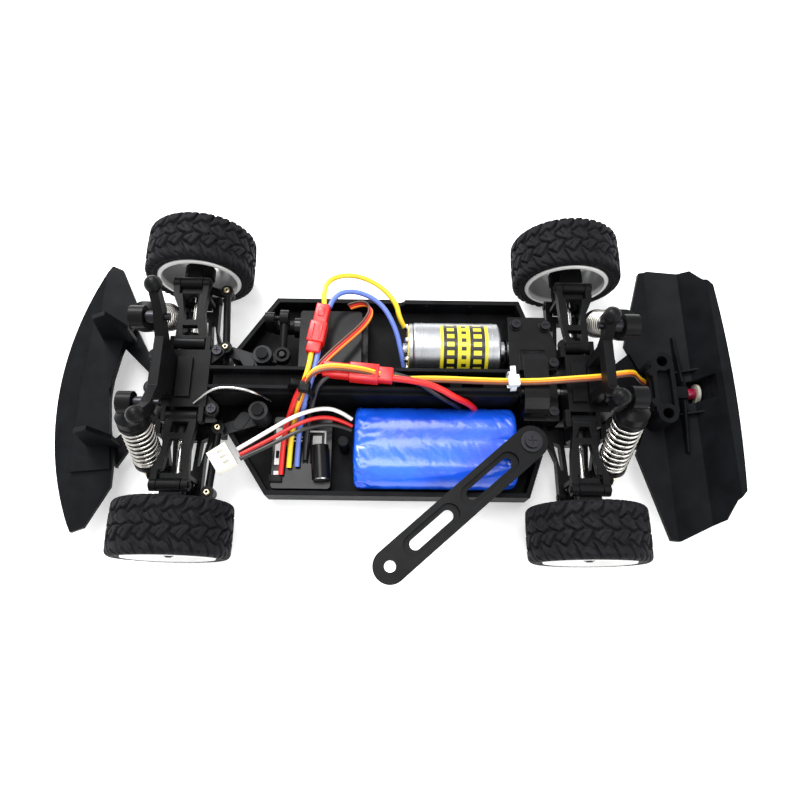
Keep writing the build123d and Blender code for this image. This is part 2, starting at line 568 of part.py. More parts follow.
def build_front_hub(name, side):
    x0 = AXLE_X
    with BuildPart() as carrier:
        carrier_lugs(x0, side)
        for z, pin in (((9.4, 11.4), (11.2, 13.4)), ((24.6, 26.6), (22.6, 24.8))):
            block((x0 - 4.0, x0 + 4.0), (side * 43, side * KINGPIN_Y), z)
            rod((x0, side * KINGPIN_Y, z[0]), (x0, side * KINGPIN_Y, z[1]), 3.2)
            rod((x0, side * KINGPIN_Y, pin[0]), (x0, side * KINGPIN_Y, pin[1]), 1.2)
        bore_lugs(x0, side)
    finish(carrier, f"{name}_hub_carrier")

    with BuildPart() as knuckle:
        rod((x0, side * 51.0, WHEEL_Z), (x0, side * 55.6, WHEEL_Z), 6.6)
        for z in ((11.8, 13.6), (22.4, 24.2)):
            block((x0 - 3.3, x0 + 3.3), (side * KINGPIN_Y, side * 53.0), z)
            rod((x0, side * KINGPIN_Y, z[0]), (x0, side * KINGPIN_Y, z[1]), 3.3)
        add(bar((x0 - 3.0, side * 48.4), (TIE_OUT[0], side * TIE_OUT[1]), 3.0, (11.8, 13.6)))
        rod((TIE_OUT[0], side * TIE_OUT[1], 11.8), (TIE_OUT[0], side * TIE_OUT[1], 13.8), 2.6)
        for z in ((10, 15), (21, 25)):
            rod((x0, side * KINGPIN_Y, z[0]), (x0, side * KINGPIN_Y, z[1]), 1.28, Mode.SUBTRACT)
        rod((x0, side * 50, WHEEL_Z), (x0, side * 57, WHEEL_Z), AXLE_R + 0.08, Mode.SUBTRACT)
    finish(knuckle, f"{name}_knuckle")


def build_rear_hub(name, side):
    x0 = -AXLE_X
    with BuildPart() as carrier:
        carrier_lugs(x0, side)
        block((x0 - 4.5, x0 + 4.5), (side * 41, side * 55.6), (9.2, 12.8))
        block((x0 - 4.5, x0 + 4.5), (side * 41, side * 55.6), (23.4, 26.6))
        rod((x0, side * 51.0, WHEEL_Z), (x0, side * 55.6, WHEEL_Z), 7.4)
        rod((x0, side * 50, WHEEL_Z), (x0, side * 57, WHEEL_Z), AXLE_R + 0.08, Mode.SUBTRACT)
        bore_lugs(x0, side)
    finish(carrier, f"{name}_hub_carrier")


def shock_points(end, side):
    """Top pin, lower stud, unit vector from one to the other, and the length."""
    x = end * (AXLE_X + SHOCK_DX)
    top = Vector(x, side * SHOCK_TOP[end][0], SHOCK_TOP[end][1])
    foot = Vector(x, side * SHOCK_FOOT[0], SHOCK_FOOT[1])
    along = foot - top
    return top, foot, along.normalized(), along.length


def turned(origin, along, profile):
    """A round part about the line through `origin` along `along`, from (radius, distance) points."""
    with BuildPart() as shape:
        with BuildSketch(Plane(origin=origin, x_dir=(1, 0, 0), z_dir=Vector(1, 0, 0).cross(along))):
            with BuildLine():
                Polyline(*profile, close=True)
            make_face()
        revolve(axis=Axis(origin, along))
    return shape.part


def build_shock(name, end, side):
    top, foot, along, length = shock_points(end, side)
    across = Vector(1, 0, 0)
    with BuildPart() as body:
        add(turned(top, along, [(0, 1.8), (3.0, 1.8), (3.0, 4.8), (6.2, 6.8), (6.2, 9.6), (5.9, 9.9), (5.9, 10.3),
                                (6.3, 10.6), (6.3, CAP_END), (4.3, CAP_END), (4.3, 26), (1.15, 26),
                                (1.15, 12.4), (0, 12.4)]))
        rod(top - across * 2.8, top + across * 2.8, 4.3)
        rod(top - across * 5, top + across * 5, STUD_R + 0.02, Mode.SUBTRACT)
    finish(body, f"{name}_shock_body")

    cup = length - CUP_BACK
    with BuildPart() as piston:
        add(turned(top, along, [(0, 15.6), (1.05, 15.6), (1.05, cup), (6.3, cup), (6.3, cup + 2.2),
                                (5.2, cup + 2.4), (2.6, cup + 5.0), (2.6, length - 2.8), (0, length - 2.8)]))
        rod(foot - across * 2.4, foot + across * 2.4, 3.4)
        rod(foot - across * 4, foot + across * 4, STUD_R + 0.4, Mode.SUBTRACT)
    finish(piston, f"{name}_shock_rod")


def coil(end, side):
    """One coil spring between the shock's cap and its lower cup."""
    top, foot, along, length = shock_points(end, side)
    free = length - CUP_BACK - CAP_END - 2 * SPRING_WIRE_R - 0.1
    pitch = free / SHOCK_TURNS[end]
    with BuildPart() as spring:
        with BuildLine() as wire:
            Helix(pitch, free, SPRING_R)
        with BuildSketch(Plane(origin=wire.line @ 0, z_dir=wire.line % 0)):
            Circle(SPRING_WIRE_R)
        sweep()
    start = Plane(origin=top + along * (CAP_END + SPRING_WIRE_R + 0.05), x_dir=(1, 0, 0), z_dir=along)
    return spring.part.moved(start.location)


def build_springs():
    with BuildPart() as springs:
        for name, end, side in CORNERS:
            add(coil(end, side))
    finish(springs, "shock_springs")


# --- steering -------------------------------------------------------------------------
def build_steering():
    shaft_x = 36.5
    with BuildPart() as servo:
        block((9.0, 36.0), (-35.0, -6.6), (FLOOR + 0.1, 20.0))
        fillet(servo.edges().filter_by(Axis.Z), 1.5)
        block((6.5, 9.5), (-37.5, -6.6), (FLOOR + 0.1, 9.0))
        rod((35.5, SERVO_Y, HORN_Z), (shaft_x + 2.4, SERVO_Y, HORN_Z), 4.6)
    finish(servo, "servo")

    with BuildPart() as horn:
        rod((shaft_x + 2.7, SERVO_Y, HORN_Z), (48.0, SERVO_Y, HORN_Z), 3.2)
        with BuildSketch(Plane.YZ.offset(46.6)):
            with Locations((SERVO_Y, (HORN_Z + LINK_Z) / 2)):
                SlotCenterToCenter(LINK_Z - HORN_Z, 5.0, rotation=90)
        extrude(amount=4.0)
        rod((LINK_X + 1, SERVO_Y, LINK_Z), (48.1, SERVO_Y, LINK_Z), 0.9)
        rod((LINK_X - 1.2, SERVO_Y, LINK_Z), (LINK_X + 1.2, SERVO_Y, LINK_Z), 1.7)
    finish(horn, "servo_horn")

    near_y = -12.0
    with BuildPart() as link:
        rod((LINK_X, SERVO_Y + 2.9, LINK_Z), (LINK_X, near_y - 2.8, LINK_Z), 1.6)
        rod((LINK_X - 1.8, SERVO_Y, LINK_Z), (LINK_X + 1.8, SERVO_Y, LINK_Z), 3.5)
        rod((LINK_X - 3, SERVO_Y, LINK_Z), (LINK_X + 3, SERVO_Y, LINK_Z), 2.2, Mode.SUBTRACT)
        rod((LINK_X, near_y, LINK_Z - 2), (LINK_X, near_y, LINK_Z + 1.8), 3.3)
        rod((LINK_X, near_y, LINK_Z - 3), (LINK_X, near_y, LINK_Z + 3), 2.1, Mode.SUBTRACT)
    finish(link, "drag_link")

    for name, side in (("left", 1), ("right", -1)):
        x, y = POST[0], side * POST[1]
        with BuildPart() as crank:
            rod((x, y, 12.4), (x, y, 24.6), 4.0)
            add(bar((x, y), (CRANK_TIE[0], side * CRANK_TIE[1]), 5.0, (12.4, 13.5)))
            add(bar((CRANK_LINK_X, y), (CRANK_LINK_X + 2, side * 15.4), 5.0, (12.4, 14.0)))
            rod((CRANK_LINK_X, y, 3.4), (CRANK_LINK_X, y, 12.6), 1.25)
            if side < 0:
                add(bar((x, y), (LINK_X, near_y), 4.0, (18.0, 20.6)))
                rod((LINK_X, near_y, 18), (LINK_X, near_y, 26.4), 1.2)
            rod((x, y, 2), (x, y, 28), 2.06, Mode.SUBTRACT)
        finish(crank, f"{name}_bell_crank")

    with BuildPart() as cross:
        add(bar((CRANK_LINK_X, -POST[1]), (CRANK_LINK_X, POST[1]), 4.4, (3.6, 6.0)))
        for side in (1, -1):
            rod((CRANK_LINK_X, side * POST[1], 3), (CRANK_LINK_X, side * POST[1], 7), 1.31, Mode.SUBTRACT)
    finish(cross, "cross_link")

    for name, side in (("left", 1), ("right", -1)):
        ends = [(CRANK_TIE[0], side * CRANK_TIE[1]), (TIE_OUT[0], side * TIE_OUT[1])]
        with BuildPart() as tie:
            rod((*ends[0], TIE_Z), (*ends[1], TIE_Z), 1.6)
            for x, y in ends:
                rod((x, y, TIE_Z - 1.7), (x, y, TIE_Z + 1.7), 2.7)
                rod((x, y, TIE_Z + 1.6), (x, y, TIE_Z + 2.3), 1.6)
                rod((x, y, TIE_Z + 1.2), (x, y, TIE_Z + 3), 0.8, Mode.SUBTRACT)
        finish(tie, f"{name}_tie_rod")


# --- electrics ------------------------------------------------------------------------
def build_battery():
    (x0, x1), (y0, y1), (z0, z1) = BATTERY
    cell_r = (z1 - z0) / 2
    with BuildPart() as pack:
        for y in (y0 + cell_r, y1 - cell_r):
            rod((x0 + 0.5, y, z0 + cell_r), (x1 - 0.5, y, z0 + cell_r), cell_r)
        block((x0 + 0.5, x1 - 0.5), (y0 + cell_r, y1 - cell_r), (z0 + 0.2, z1 - 0.2))
    finish(pack, "battery_pack")

    pivot, tip = STRAP_PIVOT, STRAP_TIP
    z = (23.0, 25.4)
    along = (Vector(*tip, 0) - Vector(*pivot, 0)).normalized()

    def spot(run):
        place = Vector(*pivot, 0) + along * run
        return (place.X, place.Y)

    with BuildPart() as strap:
        add(bar(pivot, tip, 13.6, z))
        rod((*tip, z[0] - 1.0), (*tip, z[1] - 0.4), 6.2)
        for run in ((9.0, 37.0), (41.0, 67.0)):
            for inset, width, low in ((3.8, 8.4, z[0] + 0.9), (4.6, 4.6, z[0] - 1)):
                slot = bar(spot(run[0] + inset), spot(run[1] - inset), width, (low, z[1] + 1))
                add(slot, mode=Mode.SUBTRACT)
        rod((*tip, 20), (*tip, 28), 2.3, Mode.SUBTRACT)
        rod((*pivot, 20), (*pivot, 28), 1.65, Mode.SUBTRACT)
    finish(strap, "battery_strap")


def build_controller():
    with BuildPart() as box:
        block((21.0, 46.0), (11.0, 42.0), (FLOOR + 0.1, 10.5))
        fillet(box.edges().filter_by(Axis.Z), 1.5)
    with BuildPart() as controller:
        add(box.part)
        rod((25.8, 24.5, 14.2), (24.6, 38.6, 14.2), 3.8)
    finish(controller, "speed_controller")


MOTOR_PLUG = (((24.6, -31.0), (28.4, -9.5)), (30.6, 36.4))
POWER_PLUG = (((24.0, -2.6), (-4.5, 0.0)), (31.0, 36.0))


def connector(ends, z, width):
    """A two-part moulded connector: a male half, a wider female half and its collar."""
    a, b = Vector(*ends[0], 0), Vector(*ends[1], 0)
    line = b - a
    turn = degrees(atan2(line.Y, line.X))
    middle = (z[0] + z[1]) / 2
    with BuildPart() as plug:
        for lo, hi, grow in ((0.0, 0.42, -0.4), (0.38, 0.8, 0.8), (0.78, 1.0, -0.6)):
            centre = a + line * ((lo + hi) / 2)
            with Locations(Location((centre.X, centre.Y, middle), (0, 0, turn))):
                Box(line.length * (hi - lo), width + grow, z[1] - z[0] + grow)
    return plug.part


def build_wiring():
    power_d, thin_d, ribbon_d = 2.2, 1.5, 1.1
    # bundle across the spine, from the controller up to the two connectors
    bundle = [
        ((38.4, 33.5, 12.2), (38.0, 25.0, 14.4), (36.4, 16.0, 19.4), (33.6, 8.6, 28.2), (31.4, 3.0, 33.4),
         (29.4, -4.0, 34.2), (28.9, -10.2, 33.4)),
        ((35.0, 33.0, 12.2), (34.8, 25.0, 14.4), (33.6, 16.0, 19.4), (31.0, 8.6, 28.2), (28.8, 3.0, 33.2),
         (26.8, -4.0, 34.0), (26.2, -10.4, 33.4)),
    ]
    battery = [
        ((41.6, 36.5, 12.2), (41.2, 26.0, 14.8), (39.0, 16.4, 21.0), (34.6, 8.0, 31.0), (30.2, 2.0, 36.2),
         (25.8, -1.8, 34.8), (22.0, -2.2, 33.6)),
        ((31.8, 30.0, 12.2), (31.4, 22.0, 15.4), (29.6, 13.6, 21.6), (27.4, 7.4, 30.2), (25.0, 2.6, 33.0),
         (21.0, -0.6, 32.6)),
        ((-4.0, 1.0, 34.0), (-14.0, 2.0, 34.2), (-23.0, 4.6, 33.4), (-30.4, 8.4, 28.6), (-37.4, 9.6, 22.8)),
        ((-4.0, -1.4, 32.8), (-13.0, 1.0, 33.0), (-20.0, 5.4, 32.0), (-25.0, 10.0, 26.4), (-28.6, 14.0, 21.6)),
    ]
    motor = [
        ((24.4, -30.6, 34.0), (25.4, -39.0, 34.0), (21.0, -45.4, 32.4), (11.6, -47.4, 30.4), (1.4, -43.6, 28.6),
         (-5.8, -36.0, 27.0), (-7.2, -30.2, 24.0), (-9.4, -27.6, 20.6)),
        ((22.4, -30.2, 33.4), (20.6, -37.4, 32.0), (11.4, -40.6, 29.2), (0.6, -36.0, 27.0), (-5.6, -25.2, 25.0),
         (-8.2, -15.0, 22.0), (-9.4, -9.9, 18.4)),
    ]
    servo_lead = [
        ((14.6, -36.4, 21.6), (8.6, -38.0, 24.0), (4.4, -33.0, 26.2), (7.6, -25.0, 28.4), (16.4, -15.0, 31.6),
         (24.2, -6.0, 33.6), (29.8, 2.4, 33.4), (34.2, 10.0, 27.0), (37.4, 18.0, 18.0), (39.6, 24.0, 12.4)),
    ]
    light = [
        ((33.4, 9.0, 31.0), (30.4, 2.6, 37.0), (24.4, -2.4, 38.0), (8.0, -1.4, 37.8), (-6.0, 1.6, 33.2),
         (-20.0, 0.4, 32.2), (-44.0, 1.2, 32.2), (-62.0, 1.6, 33.2), (-76.0, 1.2, 36.0), (-88.0, 0.6, 37.2),
         (-98.0, -2.2, 34.4), (-105.0, -4.8, 28.4), (-109.0, -5.6, 20.6), (-114.6, -4.4, 15.4), (-122.5, -1.0, 14.6)),
    ]
    with BuildPart() as harness:
        add(connector(*MOTOR_PLUG[:1], MOTOR_PLUG[1], 6.4))
        add(connector(*POWER_PLUG[:1], POWER_PLUG[1], 6.6))
        for route in bundle + battery + motor:
            add(lead(route, power_d))
        for route in servo_lead:
            for shift in (-1, 0, 1):
                add(lead([(x, y, z + shift * ribbon_d * 0.95) for x, y, z in route], ribbon_d))
        for route in light:
            for shift in (-0.5, 0.5):
                add(lead([(x, y + shift * thin_d * 0.95, z) for x, y, z in route], thin_d))
        # tail lamp at the end of its lead
        rod((-134.8, 0, 15.8), (-131.1, 0, 15.8), 2.4)
        rod((-135.8, 0, 15.8), (-134.6, 0, 15.8), 4.2)
    finish(harness, "wiring_harness")


def build_balance():
    """Three-wire balance lead from the battery to its loose plug, resting on the tub's rim."""
    thin_d = 1.7
    plug_at, plug_size, plug_turn = (63.4, 32.9, 24.6), (8.8, 9.6, 5.8), 34.0
    routes = [
        ((12.3, 14.2, 19.0), (18.0, 11.0, 22.6), (26.0, 11.4, 25.4), (36.0, 15.6, 26.8), (46.4, 22.2, 26.2),
         (57.6, 28.9, 24.8)),
        ((12.3, 16.6, 17.2), (18.4, 14.4, 21.0), (26.4, 14.6, 23.6), (35.4, 18.6, 24.8), (45.6, 25.0, 24.2),
         (56.8, 31.0, 24.0)),
        ((12.3, 19.0, 19.0), (18.6, 17.4, 22.8), (26.6, 18.4, 25.4), (35.0, 22.0, 26.4), (45.0, 27.6, 25.6),
         (56.2, 33.0, 25.2)),
    ]
    with BuildPart() as cable:
        for route in routes:
            add(lead(route, thin_d))
    finish(cable, "balance_lead")

    with BuildPart() as plug:
        with Locations(Location(plug_at, (0, 0, plug_turn))):
            Box(*plug_size)
    finish(plug, "balance_plug")


def build_fasteners():
    with BuildPart() as pins:
        for end in (1, -1):
            x = end * AXLE_X
            for side in (1, -1):
                y = side * ARM_IN_Y
                rod((x - 14.5, y, LOWER_Z), (x + 14.5, y, LOWER_Z), HINGE_R)
                rod((x + end * (UPPER_BACK[end] - 2.4), y, UPPER_Z), (x + end * 6.4, y, UPPER_Z), HINGE_R)
                y, z = SHOCK_TOP[end]
                shank = (end * 82.4, end * (AXLE_X + SHOCK_DX + 3.4))
                rod((shank[0], side * y, z), (shank[1], side * y, z), STUD_R - 0.02)
                rod((end * 88.4, side * y, z), (end * 91.6, side * y, z), 2.3)
                add(screw(end * 91.5, side * 6.7, 36.1, length=3.5))
                if end > 0:
                    add(screw(69.2, side * 12.7, 26.7, length=1.9))
                add(screw(end * 100.5, side * 6.7, 5.7 if end > 0 else 8.1, length=2.5))
        for x, y, top in COVER_SCREWS:
            add(screw(x, y, top, length=2.6))
        add(screw(*STRAP_PIVOT, 26.3, length=3.6, head_r=2.9))
        rod((*STRAP_PIVOT, 25.5), (*STRAP_PIVOT, 26.2), 4.4)
    finish(pins, "screws_and_pins")


def main():
    build_tub()
    build_spine()
    build_gearboxes()
    build_towers()
    build_front_bumper()
    build_rear_bumper()
    build_gear_cover()
    build_drive()
    for name, end, side in CORNERS:
        build_wheel(name, end, side)
        build_arms(name, end, side)
        build_drive_shaft(name, end, side)
        build_shock(name, end, side)
    for name, side in (("front_left", 1), ("front_right", -1)):
        build_front_hub(name, side)
    for name, side in (("rear_left", 1), ("rear_right", -1)):
        build_rear_hub(name, side)
    build_springs()
    build_steering()
    build_battery()
    build_controller()
    build_wiring()
    build_balance()
    build_fasteners()


main()
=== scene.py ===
"""Four-wheel-drive radio-controlled car chassis with its body shell off, on a plain pale floor."""
from math import atan2, cos, degrees, floor, pi, radians, sin, tau

import bmesh
import bpy
from mathutils import Matrix, Vector, noise


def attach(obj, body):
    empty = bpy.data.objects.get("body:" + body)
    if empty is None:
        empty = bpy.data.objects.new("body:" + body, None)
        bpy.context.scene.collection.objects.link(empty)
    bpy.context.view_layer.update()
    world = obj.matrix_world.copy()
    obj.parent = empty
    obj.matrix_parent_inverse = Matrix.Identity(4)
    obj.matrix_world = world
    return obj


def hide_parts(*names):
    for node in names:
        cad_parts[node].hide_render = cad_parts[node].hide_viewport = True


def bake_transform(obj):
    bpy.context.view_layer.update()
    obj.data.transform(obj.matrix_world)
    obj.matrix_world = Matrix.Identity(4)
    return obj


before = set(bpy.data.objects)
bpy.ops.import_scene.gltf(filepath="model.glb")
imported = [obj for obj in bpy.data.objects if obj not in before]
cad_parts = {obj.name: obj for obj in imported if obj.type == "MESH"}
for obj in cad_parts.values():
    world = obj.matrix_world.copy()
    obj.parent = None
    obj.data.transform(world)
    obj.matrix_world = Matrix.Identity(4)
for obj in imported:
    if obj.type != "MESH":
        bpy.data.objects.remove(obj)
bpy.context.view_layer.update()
MM = 0.001
AXLE_X, WHEEL_Y, WHEEL_Z = 82.5, 60.5, 18.0
TYRE_R = 24.0
MOTOR_Y, MOTOR_Z, MOTOR_R = -18.95, 14.6, 12.2
FLOOR_Z = -6.0
CORNERS = [("front_left", 1, 1), ("front_right", 1, -1), ("rear_left", -1, 1), ("rear_right", -1, -1)]


def mm(point):
    return Vector(point) * MM


# --- camera ---------------------------------------------------------------------------
def make_camera():
    azimuth, elevation, roll = radians(178.78), radians(71.28), radians(1.92)
    back = Vector((sin(azimuth) * cos(elevation), -cos(azimuth) * cos(elevation), sin(elevation)))
    right = (-back).cross(Vector((0, 0, 1))).normalized()
    up = right.cross(-back).normalized()
    right, up = right * cos(roll) + up * sin(roll), up * cos(roll) - right * sin(roll)
    data = bpy.data.cameras.new("camera")
    data.lens, data.sensor_width = 29.43, 36.0
    data.shift_x, data.shift_y = 0.0154, -0.0128
    data.clip_start, data.clip_end = 0.01, 20
    camera = bpy.data.objects.new("camera", data)
    bpy.context.scene.collection.objects.link(camera)
    turn = Matrix((right, up, back)).transposed().to_4x4()
    camera.matrix_world = Matrix.Translation(mm((-0.62, 90.0, 282.05))) @ turn
    bpy.context.scene.camera = camera


make_camera()


# --- materials ------------------------------------------------------------------------
class Shader:
    """Small helper round one material's node tree."""

    def __init__(self, name, roughness=0.5, metallic=0.0, coat=0.0, specular=0.5):
        self.material = bpy.data.materials.new(name)
        self.material.use_nodes = True
        self.tree = self.material.node_tree
        self.bsdf = self.tree.nodes["Principled BSDF"]
        self.set(Roughness=roughness, Metallic=metallic)
        self.bsdf.inputs["Coat Weight"].default_value = coat
        self.bsdf.inputs["Specular IOR Level"].default_value = specular
        self.coords = self.node("ShaderNodeTexCoord").outputs["Object"]

    def set(self, **values):
        for key, value in values.items():
            self.bsdf.inputs[key].default_value = value

    def node(self, kind, **inputs):
        made = self.tree.nodes.new(kind)
        for key, value in inputs.items():
            slot = made.inputs[int(key[1:])] if key[0] == "_" and key[1:].isdigit() else made.inputs[key]
            if hasattr(value, "is_linked"):
                self.tree.links.new(value, slot)
            else:
                slot.default_value = value
        return made

    def math(self, operation, a, b=0.0):
        made = self.node("ShaderNodeMath", _0=a, _1=b)
        made.operation = operation
        return made.outputs[0]

    def noise(self, size, detail=3.0, rough=0.5):
        """Noise with features about `size` mm across."""
        made = self.node("ShaderNodeTexNoise", Vector=self.coords, Scale=1000.0 / size, Detail=detail,
                         Roughness=rough)
        return made.outputs["Fac"]

    def ramp(self, factor, stops):
        made = self.node("ShaderNodeValToRGB", Fac=factor)
        ramp = made.color_ramp
        while len(ramp.elements) < len(stops):
            ramp.elements.new(0.5)
        for element, (place, colour) in zip(ramp.elements, stops):
            element.position = place
            element.color = (*colour, 1)
        return made.outputs["Color"]

    def mix(self, factor, a, b):
        made = self.tree.nodes.new("ShaderNodeMix")
        made.data_type = "RGBA"
        for slot, value in ((made.inputs[0], factor), (made.inputs[6], a), (made.inputs[7], b)):
            if hasattr(value, "is_linked"):
                self.tree.links.new(value, slot)
            else:
                slot.default_value = value if isinstance(value, float) else (*value, 1)
        return made.outputs[2]

    def link(self, output, name):
        self.tree.links.new(output, self.bsdf.inputs[name])

    def bump(self, height, strength, distance=0.1, edge=0.0):
        """Bump of `distance` mm, and edges rounded to `edge` mm."""
        made = self.node("ShaderNodeBump", Height=height, Strength=strength, Distance=distance * MM)
        if edge:
            bevel = self.node("ShaderNodeBevel", Radius=edge * MM)
            bevel.samples = 4
            self.tree.links.new(bevel.outputs[0], made.inputs["Normal"])
        self.link(made.outputs["Normal"], "Normal")

    def along(self, origin, axis):
        """Distance in mm from the line through `origin` (mm) along `axis`."""
        offset = self.node("ShaderNodeVectorMath", _0=self.coords, _1=tuple(mm(origin)))
        offset.operation = "SUBTRACT"
        cross = self.node("ShaderNodeVectorMath", _0=offset.outputs[0], _1=tuple(Vector(axis).normalized()))
        cross.operation = "CROSS_PRODUCT"
        length = self.node("ShaderNodeVectorMath", _0=cross.outputs[0])
        length.operation = "LENGTH"
        return self.math("MULTIPLY", length.outputs["Value"], 1000.0)


def plastic(name, colour, roughness=0.5, grain=0.35, spread=0.25, edge=0.25, coat=0.0, grain_size=0.35,
            specular=0.5):
    """Moulded plastic: slight mottling of colour and gloss, fine grain, softened edges."""
    s = Shader(name, roughness, coat=coat, specular=specular)
    mottle = s.noise(9.0, 4.0)
    dark = tuple(c * (1 - spread) for c in colour)
    light = tuple(min(1.0, c * (1 + spread)) for c in colour)
    s.link(s.ramp(mottle, [(0.35, dark), (0.65, light)]), "Base Color")
    s.link(s.math("ADD", s.math("MULTIPLY", s.noise(4.0), 0.16), roughness - 0.08), "Roughness")
    s.bump(s.noise(grain_size, 2.0), grain, 0.05, edge)
    return s.material


def metal(name, colour, roughness=0.28, brushed=None, edge=0.15, grain=0.12):
    s = Shader(name, roughness, metallic=1.0)
    s.link(s.ramp(s.noise(3.0), [(0.3, tuple(c * 0.86 for c in colour)), (0.7, colour)]), "Base Color")
    s.link(s.math("ADD", s.math("MULTIPLY", s.noise(1.2), 0.2), roughness - 0.1), "Roughness")
    if brushed:
        scale = s.node("ShaderNodeVectorMath", _0=s.coords, _1=brushed)
        scale.operation = "MULTIPLY"
        grained = s.node("ShaderNodeTexNoise", Vector=scale.outputs[0], Scale=1500.0, Detail=2.0)
        s.bump(grained.outputs["Fac"], grain, 0.05, edge)
    else:
        s.bump(s.noise(0.8), grain, 0.05, edge)
    return s.material


def rod_and_cup(name, origin, axis, radius):
    """Black nylon, with bright steel within `radius` mm of the axis."""
    s = Shader(name, 0.38, specular=0.10)
    near = s.math("LESS_THAN", s.along(origin, axis), radius)
    s.link(s.mix(near, (0.005, 0.005, 0.0055), (0.72, 0.72, 0.73)), "Base Color")
    s.link(near, "Metallic")
    s.link(s.math("ADD", s.math("MULTIPLY", s.noise(2.0), 0.15), 0.3), "Roughness")
    s.bump(s.noise(0.4), 0.2, 0.05, 0.2)
    return s.material


TUB = plastic("black_tub", (0.0050, 0.0052, 0.006), 0.5, grain=0.6, spread=0.35, grain_size=0.45,
              specular=0.07)
PARTS = plastic("black_nylon", (0.0040, 0.0041, 0.0046), 0.36, grain=0.3, edge=0.3, specular=0.10)
SHELL = plastic("black_shell", (0.0050, 0.0053, 0.0064), 0.46, grain=0.25, edge=0.4, specular=0.05)
GLOSS = plastic("black_gloss", (0.0035, 0.0035, 0.004), 0.22, grain=0.1, specular=0.2)
LEVER = plastic("charcoal_nylon", (0.014, 0.0145, 0.016), 0.40, grain=0.3, edge=0.3, specular=0.15)
SCREW = metal("black_screw", (0.030, 0.030, 0.034), 0.34, grain=0.1)
STEEL = metal("bright_steel", (0.62, 0.61, 0.59), 0.22, brushed=(1.0, 0.05, 1.0))
SPRING = metal("nickel_spring", (0.60, 0.58, 0.54), 0.18, grain=0.05)
BRASS = metal("brass", (0.72, 0.60, 0.38), 0.28)
LAMP = plastic("lamp_red", (0.16, 0.004, 0.02), 0.2, grain=0.0)
SHADE = plastic("shaded_ivory", (0.30, 0.29, 0.24), 0.5, grain=0.1)
IVORY = plastic("ivory_nylon", (0.80, 0.77, 0.66), 0.35, grain=0.1, spread=0.05)
TIE = plastic("clear_nylon", (0.75, 0.78, 0.80), 0.3, grain=0.1, spread=0.05)
RED = plastic("red_connector", (0.62, 0.012, 0.012), 0.34, grain=0.1, spread=0.12)
LABEL = plastic("pale_label", (0.72, 0.71, 0.68), 0.5, grain=0.1, spread=0.06, edge=0.0)
SOLDER = metal("solder", (0.85, 0.86, 0.86), 0.2)
BOARD = plastic("board", (0.42, 0.36, 0.12), 0.4, grain=0.2)


def skin(name, colour, roughness=0.34):
    """Silicone or PVC wire insulation."""
    return plastic("wire_" + name, colour, roughness, grain=0.08, spread=0.10, edge=0.0, grain_size=0.8)


WIRE = {
    "red": skin("red", (0.60, 0.012, 0.010)),
    "yellow": skin("yellow", (0.80, 0.55, 0.02)),
    "orange": skin("orange", (0.75, 0.20, 0.015)),
    "blue": skin("blue", (0.10, 0.16, 0.50)),
    "black": skin("black", (0.006, 0.006, 0.0065)),
    "white": skin("white", (0.78, 0.77, 0.74)),
    "brown": skin("brown", (0.09, 0.025, 0.012)),
}


# --- mesh helpers ---------------------------------------------------------------------
def piece(name, verts, faces, material, body, smooth=True, scale=MM):
    mesh = bpy.data.meshes.new(name)
    mesh.from_pydata([Vector(v) * scale for v in verts], [], faces)
    mesh.validate()
    made = bpy.data.objects.new(name, mesh)
    bpy.context.scene.collection.objects.link(made)
    for item in material if isinstance(material, list) else [material]:
        mesh.materials.append(item)
    if smooth:
        mesh.polygons.foreach_set("use_smooth", [True] * len(mesh.polygons))
    if body:
        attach(made, body)
    return made


def grid_faces(rows, columns, close_rows=False, close_columns=True):
    """Quads of a rows x columns lattice of points, row by row."""
    faces = []
    for r in range(rows if close_rows else rows - 1):
        for c in range(columns if close_columns else columns - 1):
            a, b = r * columns + c, r * columns + (c + 1) % columns
            d, e = ((r + 1) % rows) * columns + c, ((r + 1) % rows) * columns + (c + 1) % columns
            faces.append((a, b, e, d))
    return faces


def lathe(name, profile, origin, axis, material, body, steps=64, smooth=True):
    """A closed ring or body from (radius, distance) points about an axis, in mm."""
    axis = Vector(axis).normalized()
    side = axis.orthogonal().normalized()
    other = axis.cross(side)
    verts = []
    for radius, run in profile:
        for i in range(steps):
            a = tau * i / steps
            verts.append(Vector(origin) + axis * run + (side * cos(a) + other * sin(a)) * max(radius, 0.001))
    made = piece(name, verts, grid_faces(len(profile), steps, close_rows=True), material, body, smooth)
    bpy.context.view_layer.update()
    fix = bmesh.new()
    fix.from_mesh(made.data)
    bmesh.ops.remove_doubles(fix, verts=fix.verts, dist=0.00002)
    bmesh.ops.recalc_face_normals(fix, faces=fix.faces)
    fix.to_mesh(made.data)
    fix.free()
    if smooth:
        sharpen(made, 35)
    return made


def sharpen(made, angle):
    """Splits the shading where faces meet at more than `angle` degrees."""
    fix = bmesh.new()
    fix.from_mesh(made.data)
    for edge in fix.edges:
        if len(edge.link_faces) == 2:
            edge.smooth = edge.calc_face_angle(0) < radians(angle)
    fix.to_mesh(made.data)
    fix.free()


